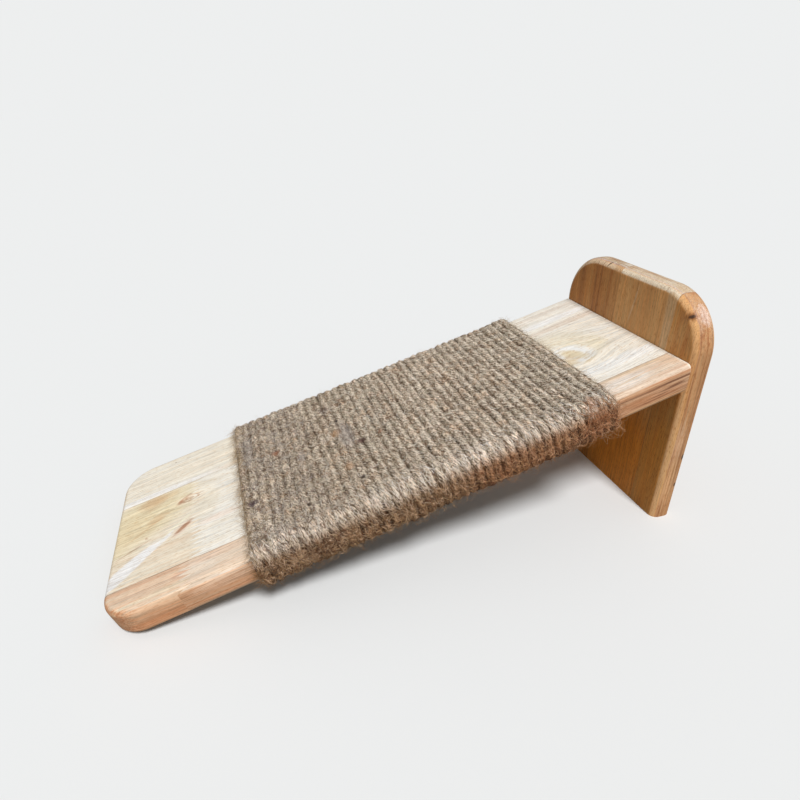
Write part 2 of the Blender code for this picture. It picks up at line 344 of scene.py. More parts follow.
@dataclass(frozen=True)
class Knot:
    """A knot: an eye of rings, with the grain bent round it.

    Attributes:
        place: Its middle on the panel, along and across the grain, in millimetres.
        radius: The half width of its eye, in millimetres.
        stretch: How many times longer than wide it is.
        ring: The width of a ring, in millimetres.
        colour: The colour of its dark rings.
        strength: How dark they are.
        bend: How far away it bends the grain, in radii.
        wander: How far the wood's own lines push its rings about, in radians.
    """

    place: Point2
    radius: float
    stretch: float
    ring: float
    colour: Colour
    strength: float
    bend: float = 1.6
    wander: float = 7.0

    def distance(self, x: Wire, y: Wire) -> Wire:
        """Squared distance from the knot's middle, with its length shrunk to its width."""
        along, across = (x - self.place[0]) / self.stretch, y - self.place[1]
        return along * along + across * across

    def bent(self, x: Wire, y: Wire) -> Wire:
        """Bend the grain round the knot.

        Args:
            x: The place along the grain, in millimetres.
            y: The place across it, in millimetres.

        Returns:
            The place across the grain as the grain lines see it.
        """
        reach = (self.radius * self.bend) ** 2
        pull = reach / (self.distance(x, y) + reach)
        return y - (y - self.place[1]) * pull

    def cover(self, spot: Spot) -> Wire:
        """How much of its colour the knot lays over a point.

        Args:
            spot: The point.

        Returns:
            A share from 0 to 1.
        """
        reach = self.distance(spot.x, spot.y).root()
        wave = (reach * (math.tau / self.ring) + spot.rough * self.wander).sine()
        eye = reach.eased(self.radius * 1.3, self.radius * 0.5)
        core = reach.eased(self.ring * 0.9, 0)
        rings = wave.eased(-0.4, 0.9).at_least(core) * eye * (spot.rough + 0.35)
        return rings * self.strength


@dataclass(frozen=True)
class Seam:
    """A glued seam between two staves, drawn as a fine broken line. Sizes are in millimetres."""

    across: float
    strength: float
    half_width: float = 0.5
    colour: Colour = (0.34, 0.17, 0.09)

    def cover(self, spot: Spot) -> Wire:
        """How much of its colour the seam lays over a point.

        Args:
            spot: The point.

        Returns:
            A share from 0 to 1.
        """
        line = (spot.y - self.across).size().eased(self.half_width, 0.1)
        share = line * (spot.rough.eased(0.6, 0.44) * 0.8 + 0.2)
        return share * self.strength


PORE_TINT = (0.78, 0.66, 0.54)
LAYER_TINT = (0.6, 0.4, 0.27)
CORNER_TINT = (0.68, 0.47, 0.34)
WOOD_BUMP = 0.00014


@dataclass(frozen=True)
class WoodFinish:
    """Sanded and oiled light hardwood.

    Attributes:
        name: The material's name.
        pale: The colour of its light grain.
        mid: The colour between its streaks.
        deep: The colour of its darkest streaks.
        seed: Moves its figure.
        side: Multiplies its colour on its edges: partly their own tone, partly painted light and shade.
        arris: The pale colour painted on its rounded edges as a highlight, or none.
        streak: How strong its streaks are.
        fibre: How strong its fine fibres are.
        marks: What is drawn on it, in order.
        pores: How dark its open pores are.
        layers: How strongly its growth layers show on its edges.
        roughness: How matt its oil is.
    """

    name: str
    pale: Colour
    mid: Colour
    deep: Colour
    seed: float
    side: Colour = (1.0, 1.0, 1.0)
    arris: Colour | None = None
    streak: float = 1.0
    fibre: float = 1.0
    marks: tuple[Smudge | Knot | Seam, ...] = ()
    pores: float = 0.6
    layers: float = 0.2
    roughness: float = 0.48

    def material(self, panel: GluedPanel) -> Material:
        """Make the material.

        Args:
            panel: The panel that the wood is part of.

        Returns:
            The material.
        """
        sheet = Sheet(self.name, self.roughness)
        place = sheet.millimetres()
        x, y, z = sheet.parts(place)
        wander = sheet.noise(place, (150, 26, 26), self.seed)
        across = y
        for mark in self.marks:
            if isinstance(mark, Knot):
                across = mark.bent(x, across)
        grain = sheet.joined(x, across + wander * 9, z + wander * 4)
        band = sheet.noise(grain, (220, 7, 8), self.seed + 1, 2)
        line = sheet.noise(grain, (80, 1.7, 2), self.seed + 2, 3, 0.62)
        fine = sheet.noise(grain, (24, 0.75, 0.75), self.seed + 3, 2)
        pore = sheet.noise(grain, (3.6, 0.55, 0.55), self.seed + 4, 1)
        ripple = sheet.noise(grain, (5, 9, 9), self.seed + 5, 2)

        tone = band * 0.46 + line * 0.38 + fine * 0.16
        colour = sheet.mix(tone.eased(0.51, 0.41) * self.streak, self.mid, self.pale)
        colour = sheet.mix(tone.eased(0.51, 0.62) * self.streak, colour, self.deep)
        overhang = self._overhang(x, y, panel)
        edge = (overhang + (line - 0.5) * 5).eased(-3.6, -1)
        # The arris colour is a painted highlight over the rounded edges, where the side tint is held
        # back.
        if self.arris:
            bend = panel.edge_round / MM
            depth = z.at_most(panel.thickness / MM - z) + (line - 0.5) * 2
            rounded = overhang.eased(-0.86 * bend, -0.62 * bend) * depth.eased(0.66 * bend, 0.25 * bend)
            colour = sheet.mix(rounded * 0.9, colour, self.arris)
            edge = edge * rounded.eased(0.5, 0)
        spot = Spot(x, y, z, line)
        for mark in self.marks:
            colour = sheet.mix(mark.cover(spot), colour, mark.colour)
        holes = pore.eased(0.56, 0.66)
        colour = sheet.tinted(holes * self.pores, colour, PORE_TINT)
        relief = (line - 0.5) * 0.4 + (fine - 0.5) * 0.5
        shade = (ripple - 0.5) * 0.14 + relief * self.fibre + 1
        colour = sheet.shaded(colour, shade)
        # The side tint is partly painted light and shade on the edges, and partly their own tone.
        colour = sheet.tinted(edge, colour, self.side)
        layer = sheet.noise(place, (70, 45, 1.5), self.seed + 6, 2, 0.6, 0.3)
        layer = layer.eased(0.5, 0.62) * edge * self.layers
        colour = sheet.tinted(layer, colour, LAYER_TINT)
        ahead = (1 - x / (panel.corner_radius / MM)).at_least(0)
        speck = sheet.noise(place, (1.3, 1.1, 1.1), self.seed + 7, 2, 0.6, 0.8).eased(0.48, 0.6)
        turned = ahead * (1 - ahead) * 4
        colour = sheet.tinted(speck * turned * edge * 0.6, colour, CORNER_TINT)
        sheet.set("Base Color", colour)
        sheet.set("Roughness", (line - 0.5) * 0.18 + holes * 0.2 + self.roughness)
        sheet.bumped((fine + line) * 0.5 - holes * 0.45, WOOD_BUMP, 0.6)
        return sheet.material

    @staticmethod
    def _overhang(x: Wire, y: Wire, panel: GluedPanel) -> Wire:
        """How far a point lies outside the panel's outline, and less than 0 inside it.

        Args:
            x: The place along the grain, in millimetres.
            y: The place across it.
            panel: The panel.

        Returns:
            The distance, in millimetres, which is right near the outline.
        """
        radius = panel.corner_radius / MM
        along = (radius - x).at_least(0)
        across = (y.size() - (panel.width / MM / 2 - radius)).at_least(0)
        return (along * along + across * across).root() - radius


WARM_TINT = (1.1, 0.86, 0.66)
FLUFF_COLOUR = (0.56, 0.51, 0.47)
SPECK_COLOUR = (0.1, 0.055, 0.04)
# A painted sheen on the rope's upper edges.
PAINTED_SHEEN_TINT = (1.25, 1.2, 1.2)
FRONT_TINT = (0.96, 0.94, 0.92)
REAR_SIDE_TINT = (1.03, 0.86, 0.76)
PALE_TINT = (1.04, 1.03, 1.03)
JUTE_BUMP = 0.001


@dataclass(frozen=True)
class JuteFinish:
    """Dry twisted jute.

    Attributes:
        name: The material's name.
        dark: The colour between its fibres.
        mid: Its usual colour.
        olive: The colour that half of it has instead.
        light: The colour of the fibres that catch the light.
        side: Multiplies its colour on the ramp's side: partly a browner tone, partly painted shade.
        tilt: The angle of its fibres to the rope, in degrees.
        flecks: Coloured spots, by their place on the ramp.
    """

    name: str
    dark: Colour
    mid: Colour
    olive: Colour
    light: Colour
    side: Colour
    tilt: float
    flecks: tuple[Smudge, ...] = ()

    def material(self, half_width: float) -> Material:
        """Make the material for a mesh whose "lay" map runs along and round the rope, in metres.

        Args:
            half_width: The half width of the ramp, in metres.

        Returns:
            The material.
        """
        sheet = Sheet(self.name, 0.62)
        lay = sheet.add("ShaderNodeUVMap", {"uv_map": "lay"}, {})
        along, around, _ = sheet.parts(lay)
        along, around = along * (1 / MM), around * (1 / MM)
        cos, sin = math.cos(math.radians(self.tilt)), math.sin(math.radians(self.tilt))
        fibre = sheet.joined(along * cos + around * sin, around * cos - along * sin, 0)
        place = sheet.millimetres()
        x, y, z = sheet.parts(place)
        ribbon = sheet.noise(fibre, (5, 0.72, 1), 1, 2, 0.6, 0.6)
        strand = sheet.noise(fibre, (3, 0.52, 0.6), 11, 1, 0.6, 0.4)
        speckle = sheet.noise(place, (0.75, 0.95, 0.95), 2, 2, 0.6, 1.4)
        patch = sheet.noise(place, (14, 18, 18), 4, 3)
        wave = sheet.noise(along * 0.12, (1, 1, 1), 7)
        # Painted light and shade across each turn: a highlight on its crest, shade on its flank towards
        # the board and down both flanks into the gaps, stronger towards the rear and on the ramp's
        # side.
        painted_crest_highlight = (around - 0.3 + (wave - 0.5) * 2).size().eased(1.1, 0.1)
        painted_lee_shade = around.eased(0.8, 2.2)
        painted_flank_shade = around.size().eased(1.4, 3.2)
        tone = ribbon * 0.32 + strand * 0.34 + speckle * 0.22 + patch * 0.12
        flat = x.eased(110, 330) * 0.55 + 0.58
        beside = flank_share(y, z, half_width)
        tone = tone + (painted_crest_highlight * 0.045 - painted_lee_shade * 0.035 - painted_flank_shade * 0.05) * (flat + beside * 0.35)
        hue = sheet.noise(place, (3, 3.6, 3.6), 3, 2, 0.6, 1)
        usual = sheet.mix(hue.eased(0.44, 0.56), self.mid, self.olive)
        colour = sheet.mix(tone.eased(0.435, 0.49), self.dark, usual)
        colour = sheet.mix(tone.eased(0.51, 0.57), colour, self.light)
        warm = sheet.noise(place, (9, 9, 9), 5, 2)
        colour = sheet.tinted(warm.eased(0.5, 0.75) * 0.5, colour, WARM_TINT)
        fluff = sheet.noise(place, (9, 5, 6), 8, 2).eased(0.5, 0.66)
        colour = sheet.mix(fluff * x.eased(190, 110) * 0.35, colour, FLUFF_COLOUR)
        speck = sheet.noise(place, (2.4, 2, 2.2), 9, 1).eased(0.69, 0.76)
        colour = sheet.mix(speck * 0.75, colour, SPECK_COLOUR)
        spot = Spot(x, y, z, speckle)
        for fleck in self.flecks:
            colour = sheet.mix(fleck.cover(spot), colour, fleck.colour)
        # Painted sheen along the winding's upper edges, in patches over its lighter fibres.
        outside = y.size() - half_width / MM
        arris = outside.eased(-8, -1) * outside.eased(4.5, 0.5) * z.eased(14, 20)
        sheen_patches = sheet.noise(place, (11, 9, 9), 12, 2).eased(0.42, 0.6) * 0.85 + 0.3
        colour = sheet.tinted(arris * sheen_patches * tone.eased(0.45, 0.55), colour, PAINTED_SHEEN_TINT)
        # The side tint is partly painted shade on the ramp's side.
        colour = sheet.tinted(beside, colour, self.side)
        colour = faded(sheet, colour, x, beside)
        sheet.set("Base Color", colour)
        sheet.set("Roughness", 0.72 - speckle * 0.3)
        sheet.bumped(ribbon * 0.5 + speckle * 0.5, JUTE_BUMP, 1)
        return sheet.material


def flank_share(y: Wire, z: Wire, half_width: float) -> Wire:
    """How far a point of the winding is round on the ramp's side, which is browner and has painted
    shade.
    """
    return (y.size() - half_width / MM).eased(-4, 3) * z.eased(24, 14)


def faded(sheet: Sheet, colour: Wire, x: Wire, beside: Wire) -> Wire:
    """Make the winding darker in front, paler behind its middle and redder on its rear side.

    Args:
        sheet: The material.
        colour: The colour so far.
        x: The place along the ramp, in millimetres.
        beside: How far the point is round on the ramp's side, from 0 to 1.

    Returns:
        The colour.
    """
    pale = x.eased(190, 230) * x.eased(325, 255)
    colour = sheet.tinted(x.eased(195, 165), colour, FRONT_TINT)
    colour = sheet.tinted(beside * x.eased(210, 260), colour, REAR_SIDE_TINT)
    return sheet.tinted(pale, colour, PALE_TINT)


@dataclass(frozen=True)
class FibreFinish:
    """Loose jute fibres in three shades, with a tint for the ramp's side that is partly painted shade.
    """

    name: str
    shades: tuple[Colour, Colour, Colour]
    side: Colour = (0.88, 0.68, 0.52)
    flecks: tuple[Smudge, ...] = ()

    def material(self, half_width: float) -> Material:
        """Make the material for a mesh whose "hair" map gives each fibre a number of its own.

        Args:
            half_width: The half width of the ramp, in metres.

        Returns:
            The material.
        """
        sheet = Sheet(self.name, 0.5)
        place = sheet.millimetres()
        x, y, z = sheet.parts(place)
        number, _, _ = sheet.parts(sheet.add("ShaderNodeUVMap", {"uv_map": "hair"}, {}))
        first, second, third = self.shades
        colour = sheet.mix(number.eased(0.25, 0.45), first, second)
        colour = sheet.mix(number.eased(0.6, 0.8), colour, third)
        patch = sheet.noise(place, (1.6, 1.6, 1.6), 6, 2)
        colour = sheet.shaded(colour, patch * 0.7 + 0.65)
        spot = Spot(x, y, z, patch)
        for fleck in self.flecks:
            colour = sheet.mix(fleck.cover(spot), colour, fleck.colour)
        beside = flank_share(y, z, half_width)
        # The side tint is partly painted shade on the ramp's side.
        colour = sheet.tinted(beside, colour, self.side)
        colour = faded(sheet, colour, x, beside)
        sheet.set("Base Color", colour)
        sheet.set("Roughness", patch * 0.3 + 0.3)
        return sheet.material


@dataclass(frozen=True)
class PlatedSteel:
    """Bright zinc plate with dull clouds and fine rubbing marks."""

    name: str
    colour: Colour = (0.66, 0.66, 0.63)
    dull_colour: Colour = (0.50, 0.48, 0.43)
    scratch_depth: float = 0.00002

    def material(self) -> Material:
        """Make the material.

        Returns:
            The material.
        """
        sheet = Sheet(self.name, 0.32, 1)
        place = sheet.millimetres()
        cloud = sheet.noise(place, (1.6, 1.6, 1.6), 1, 3)
        marks = sheet.noise(place, (0.15, 1.2, 0.15), 2, 2)
        dull = cloud.eased(0.45, 0.7)
        sheet.set("Base Color", sheet.mix(dull * 0.5, self.colour, self.dull_colour))
        sheet.set("Roughness", dull * 0.2 + marks * 0.2 + 0.2)
        sheet.bumped(marks, self.scratch_depth, 0.5)
        return sheet.material


def new_object(name: str, mesh: Mesh, place: Matrix | None = None) -> Object:
    """Put a mesh in the scene.

    Args:
        name: The object's name.
        mesh: Its mesh.
        place: The frame it is drawn in, or none for the row's own.

    Returns:
        The object.
    """
    thing = bpy.data.objects.new(name, mesh)
    bpy.context.scene.collection.objects.link(thing)
    if place is not None:
        thing.matrix_world = place
    return thing


def finished(thing: Object, material: Material,
             nodes: Sequence[str] = ()) -> Object:
    """Dress a piece, let it ride on the body and let it stand for its CAD nodes.

    Args:
        thing: The piece.
        material: Its material.
        nodes: The CAD nodes that it stands for.

    Returns:
        The piece.
    """
    thing.data.materials.clear()
    thing.data.materials.append(material)
    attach(thing, BODY)
    if nodes:
        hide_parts(*nodes)
    return thing


def poured(name: str, body: bmesh.types.BMesh) -> Mesh:
    """Turn an editable mesh into a plain one, and free it.

    Args:
        name: The plain mesh's name.
        body: The editable mesh.

    Returns:
        The plain mesh.
    """
    mesh = bpy.data.meshes.new(name)
    body.to_mesh(mesh)
    body.free()
    return mesh


def applied(thing: Object) -> Mesh:
    """Take an object out of the scene and keep its mesh with the modifiers applied.

    Args:
        thing: The object.

    Returns:
        The mesh.
    """
    bpy.context.view_layer.update()
    graph = bpy.context.evaluated_depsgraph_get()
    mesh = bpy.data.meshes.new_from_object(thing.evaluated_get(graph))
    bpy.data.objects.remove(thing, do_unlink=True)
    return mesh


def carved(name: str, mesh: Mesh, cuts: Sequence[tuple[Cut, Mesh]]) -> Mesh:
    """Cut a mesh, and shade it so that its flats are flat and its rounds round.

    Args:
        name: The new mesh's name.
        mesh: The mesh to cut.
        cuts: What each cut leaves, and its cutting shape.

    Returns:
        The finished mesh.
    """
    thing = new_object(name, mesh)
    others = []
    for kind, cutter in cuts:
        other = new_object(name + "_cutter", cutter)
        modifier = thing.modifiers.new("cut", "BOOLEAN")
        modifier.operation = kind.value
        modifier.object = other
        others.append(other)
    cut = applied(thing)
    for other in others:
        bpy.data.objects.remove(other, do_unlink=True)
    cut.shade_smooth()
    cut.set_sharp_from_angle(angle=SHARP_ANGLE)
    thing = new_object(name, cut)
    weighing = thing.modifiers.new("flats", "WEIGHTED_NORMAL")
    weighing.keep_sharp = True
    mesh = applied(thing)
    mesh.name = name
    return mesh


def lathed(name: str, profile: Sequence[Point2], steps: int) -> Mesh:
    """Turn a profile about Z into a closed solid.

    Args:
        name: The mesh's name.
        profile: The radius and height of each ring, from the top down. The first and last radius
            are 0.
        steps: How many sides it has.

    Returns:
        The mesh.
    """
    angles = np.arange(steps) * math.tau / steps
    rings = [np.c_[r * np.cos(angles), r * np.sin(angles), np.full(steps, z)]
             for r, z in profile[1:-1]]
    points = np.concatenate([[(0, 0, profile[0][1])], *rings, [(0, 0, profile[-1][1])]])
    last = len(points) - 1
    faces = []
    for i in range(steps):
        j = (i + 1) % steps
        faces.append((0, 1 + i, 1 + j))
        for ring in range(len(rings) - 1):
            a, b = 1 + ring * steps, 1 + (ring + 1) * steps
            faces.append((a + i, b + i, b + j, a + j))
        foot = 1 + (len(rings) - 1) * steps
        faces.append((last, foot + j, foot + i))
    mesh = bpy.data.meshes.new(name)
    mesh.from_pydata(points.tolist(), [], faces)
    return mesh


def tubes(name: str, paths: Array, radii: Array, across: Array,
          sides: int) -> Mesh:
    """Round wires along many paths at once.

    Args:
        name: The mesh's name.
        paths: The points of each path, as wires by points by 3.
        radii: The radius at each point.
        across: A direction for each wire that no stretch of it runs along.
        sides: How many sides a wire has.

    Returns:
        The mesh, with closed ends.
    """
    count, length = paths.shape[:2]
    ahead = np.gradient(paths, axis=1)
    ahead /= np.linalg.norm(ahead, axis=2, keepdims=True)
    first = np.cross(ahead, across[:, None, :])
    first /= np.linalg.norm(first, axis=2, keepdims=True)
    second = np.cross(ahead, first)
    turn = np.arange(sides) * math.tau / sides
    ring = (first[:, :, None, :] * np.cos(turn)[:, None]
            + second[:, :, None, :] * np.sin(turn)[:, None])
    points = paths[:, :, None, :] + ring * radii[:, :, None, None]
    start = (np.arange(count * length) * sides).reshape(count, length)
    i, j = np.arange(sides), (np.arange(sides) + 1) % sides
    low, high = start[:, :-1, None], start[:, 1:, None]
    walls = np.stack([low + i, low + j, high + j, high + i], -1).reshape(-1, 4)
    caps = np.concatenate([start[:, :1] + i[::-1], start[:, -1:] + i])
    return quick_mesh(name, points.reshape(-1, 3), [walls, caps])


def quick_mesh(name: str, points: Array, groups: Sequence[Array]) -> Mesh:
    """Make a mesh from arrays.

    Args:
        name: The mesh's name.
        points: The vertices.
        groups: Arrays of faces, each with faces of one number of corners.

    Returns:
        The mesh, shaded smooth.
    """
    groups = [group for group in groups if len(group)]
    sizes = np.concatenate([np.full(len(group), group.shape[1]) for group in groups])
    corners = np.concatenate([group.ravel() for group in groups])
    mesh = bpy.data.meshes.new(name)
    mesh.vertices.add(len(points))
    mesh.vertices.foreach_set("co", points.astype(np.float32).ravel())
    mesh.loops.add(len(corners))
    mesh.loops.foreach_set("vertex_index", corners.astype(np.int32))
    mesh.polygons.add(len(sizes))
    mesh.polygons.foreach_set("loop_start", np.r_[0, np.cumsum(sizes)[:-1]].astype(np.int32))
    mesh.update(calc_edges=True)
    mesh.shade_smooth()
    return mesh


def add_map(mesh: Mesh, name: str, values: Array) -> None:
    """Add a UV map with the values of every corner of the mesh."""
    mesh.uv_layers.new(name=name).uv.foreach_set("vector", values.astype(np.float32).ravel())


@dataclass(frozen=True)
class Stance:
    """Where the ramp and the board stand, worked out from their sizes as the CAD model does."""

    length: float = 0.400
    thickness: float = 0.020
    slope: float = math.radians(16.05)
    rounding: float = 0.004
    glue: float = 0.0003
    board_thickness: float = 0.017
    board_above: float = 0.0434

    @property
    def lift(self) -> float:
        """Height of the ramp frame's origin."""
        return self.rounding * (1 - math.sin(self.slope) - math.cos(self.slope))

    @property
    def start(self) -> float:
        """X of the ramp frame's origin.

        Returns:
            The X that centres the whole object.
        """
        sin, cos = math.sin(self.slope), math.cos(self.slope)
        nose = self.rounding * cos - (self.thickness - self.rounding) * sin - self.rounding
        reach = self.length * cos - self.thickness * sin + self.glue
        return -(nose + reach + self.board_thickness) / 2

    @property
    def board_front(self) -> float:
        """X of the board's front face."""
        sin, cos = math.sin(self.slope), math.cos(self.slope)
        return self.start + self.length * cos - self.thickness * sin + self.glue

    @property
    def ramp_top(self) -> float:
        """Height of the ramp's upper edge at the board."""
        sin, cos = math.sin(self.slope), math.cos(self.slope)
        return self.lift + self.length * sin + self.thickness * cos

    @property
    def board_height(self) -> float:
        """Height of the board."""
        return self.ramp_top + self.board_above

    @property
    def ramp_frame(self) -> Matrix:
        """The ramp's frame: X runs up from the nose and Z stands on its underside."""
        turn = Matrix.Rotation(-self.slope, 4, "Y")
        return Matrix.Translation((self.start, 0, self.lift)) @ turn

    @property
    def board_frame(self) -> Matrix:
        """The board's frame: X runs down from its top and Z goes back from its front."""
        turn = Matrix.Rotation(math.pi / 2, 4, "Y")
        return Matrix.Translation((self.board_front, 0, self.board_height)) @ turn


@dataclass(frozen=True)
class Lamella:
    """One strip of wood in a glued panel.

    Attributes:
        node: The CAD node that it stands for.
        slot: The name of a material slot, which is not used.
        low: Its edge towards the near side.
        high: Its edge towards the far side.
        finish: Its wood.
        start: The finger joint that it starts at, or none for the rounded end.
        end: The one that it ends at, or none for the plain end.
    """

    node: str
    slot: str
    low: float
    high: float
    finish: WoodFinish
    start: float | None = None
    end: float | None = None

    @property
    def name(self) -> str:
        """The piece's name, which is the node's without its kind of strip."""
        return self.node.replace("lamella_", "").replace("stave_", "")


@dataclass
class GluedPanel:
    """A panel of glued strips with two round corners at one end and rounded long edges.

    Its length is taken on its upper face. The seams' values say how dark they are, the end's
    slope how far the plain end is off square, a finger's pitch the width of a finger and its gap,
    and the overrun how far the cutting shapes reach past the panel.
    """

    place: Matrix
    length: float
    thickness: float
    edge_round: float
    width: float
    corner_radius: float
    near_stave: float
    middle_stave: float
    near_seam: float = 0.6
    far_seam: float = 0.3
    end_slope: float = 0.0
    finger_length: float = 0.010
    finger_pitch: float = 0.004
    corner_steps: int = 28
    edge_steps: int = 7
    overrun: float = 0.010

    @property
    def near_line(self) -> float:
        """Where the near stave meets the middle one."""
        return self.near_stave - self.width / 2

    @property
    def far_line(self) -> float:
        """Where the middle stave meets the far one."""
        return self.near_line + self.middle_stave

    def seams(self) -> tuple[Seam, Seam]:
        """The glued seams at both sides of the middle stave."""
        return Seam(self.near_line / MM, self.near_seam), Seam(self.far_line / MM, self.far_seam)

    def lamellas(self) -> list[Lamella]:
        """The strips with their wood, which each kind of panel lists for itself."""
        raise NotImplementedError

    def blank(self) -> Mesh:
        """The whole panel as one solid, in the panel's frame.

        Returns:
            The mesh.
        """
        reach = self.length + self.overrun
        body = bmesh.new()
        bmesh.ops.create_cube(body, size=1)
        bmesh.ops.scale(body, vec=(reach, self.width, self.thickness), verts=body.verts)
        bmesh.ops.translate(body, vec=(reach / 2, 0, self.thickness / 2), verts=body.verts)
        corners = [edge for edge in body.edges
                   if all(vert.co.x < self.overrun / 2 for vert in edge.verts)
                   and abs(edge.verts[0].co.z - edge.verts[1].co.z) > self.thickness / 2]
        bmesh.ops.bevel(body, geom=corners, offset=self.corner_radius,
                        segments=self.corner_steps, profile=0.5, affect="EDGES")
        rims = [edge for edge in body.edges
                if abs(edge.verts[0].co.z - edge.verts[1].co.z) < self.thickness / 2
                and any(vert.co.x < self.length for vert in edge.verts)]
        bmesh.ops.bevel(body, geom=rims, offset=self.edge_round, segments=self.edge_steps,
                        profile=0.5, affect="EDGES")
        normal = Vector((math.cos(self.end_slope), 0, -math.sin(self.end_slope)))
        cut = bmesh.ops.bisect_plane(body, geom=body.verts[:] + body.edges[:] + body.faces[:],
                                     plane_co=(self.length, 0, self.thickness),
                                     plane_no=normal, clear_outer=True)
        ring = [item for item in cut["geom_cut"] if isinstance(item, bmesh.types.BMEdge)]
        bmesh.ops.contextual_create(body, geom=ring)
        bmesh.ops.recalc_face_normals(body, faces=body.faces)
        return poured("panel_blank", body)

    def _end_line(self, place: float | None, usual: float, low: float, high: float) -> list[Point2]:
        """The line across one end of a lamella.

        Args:
            place: The middle of its finger joint, or none.
            usual: Where it ends without one.
            low: Its edge towards the near side.
            high: Its edge towards the far side.

        Returns:
            Points from the low edge to the high one.
        """
        if place is None:
            return [(usual, low), (usual, high)]
        fingers = max(1, round((high - low) / self.finger_pitch))
        step = (high - low) / (2 * fingers)
        half = self.finger_length / 2
        return [(place + half * (-1) ** i, low + i * step) for i in range(2 * fingers + 1)]

    def strip(self, lamella: Lamella) -> Mesh:
        """A tall prism over one lamella's outline, which reaches past the panel where it is free.

        Args:
            lamella: The lamella.

        Returns:
            The mesh, in the panel's frame.
        """
        half = self.width / 2
        low = lamella.low if lamella.low > -half else -half - self.overrun
        high = lamella.high if lamella.high < half else half + self.overrun
        front = self._end_line(lamella.start, -self.overrun, low, high)
        rear = self._end_line(lamella.end, self.length + 2 * self.overrun, low, high)
        outline = rear + front[::-1]
        body = bmesh.new()
        floor = [body.verts.new((x, y, -self.overrun)) for x, y in outline]
        face = body.faces.new(floor)
        grown = bmesh.ops.extrude_face_region(body, geom=[face])
        tops = [item for item in grown["geom"] if isinstance(item, bmesh.types.BMVert)]
        bmesh.ops.translate(body, vec=(0, 0, self.thickness + 2 * self.overrun), verts=tops)
        bmesh.ops.recalc_face_normals(body, faces=body.faces)
        return poured(lamella.name, body)

    def build(self, bores: Sequence[Mesh]) -> list[Object]:
        """Build, dress and place every lamella.

        Args:
            bores: What is drilled out of them, in the row's frame.

        Returns:
            The lamellas.
        """
        back = self.place.inverted()
        pieces = []
        for lamella in self.lamellas():
            cuts = [(Cut.INSIDE, self.blank())]
            for bore in bores:
                hole = bore.copy()
                hole.transform(back)
                cuts.append((Cut.OUTSIDE, hole))
            mesh = carved(lamella.name, self.strip(lamella), cuts)
            thing = new_object(lamella.name, mesh, self.place)
            material = lamella.finish.material(self)
            pieces.append(finished(thing, material, [lamella.node]))
        return pieces


UMBER = (0.42, 0.2, 0.11)
AMBER = (0.66, 0.41, 0.21)
HONEY = (0.82, 0.7, 0.45)
CHALK = (0.92, 0.92, 0.9)
BARK = (0.075, 0.032, 0.014)
RUSSET = (0.34, 0.13, 0.035)
SAND = (0.8, 0.53, 0.29)


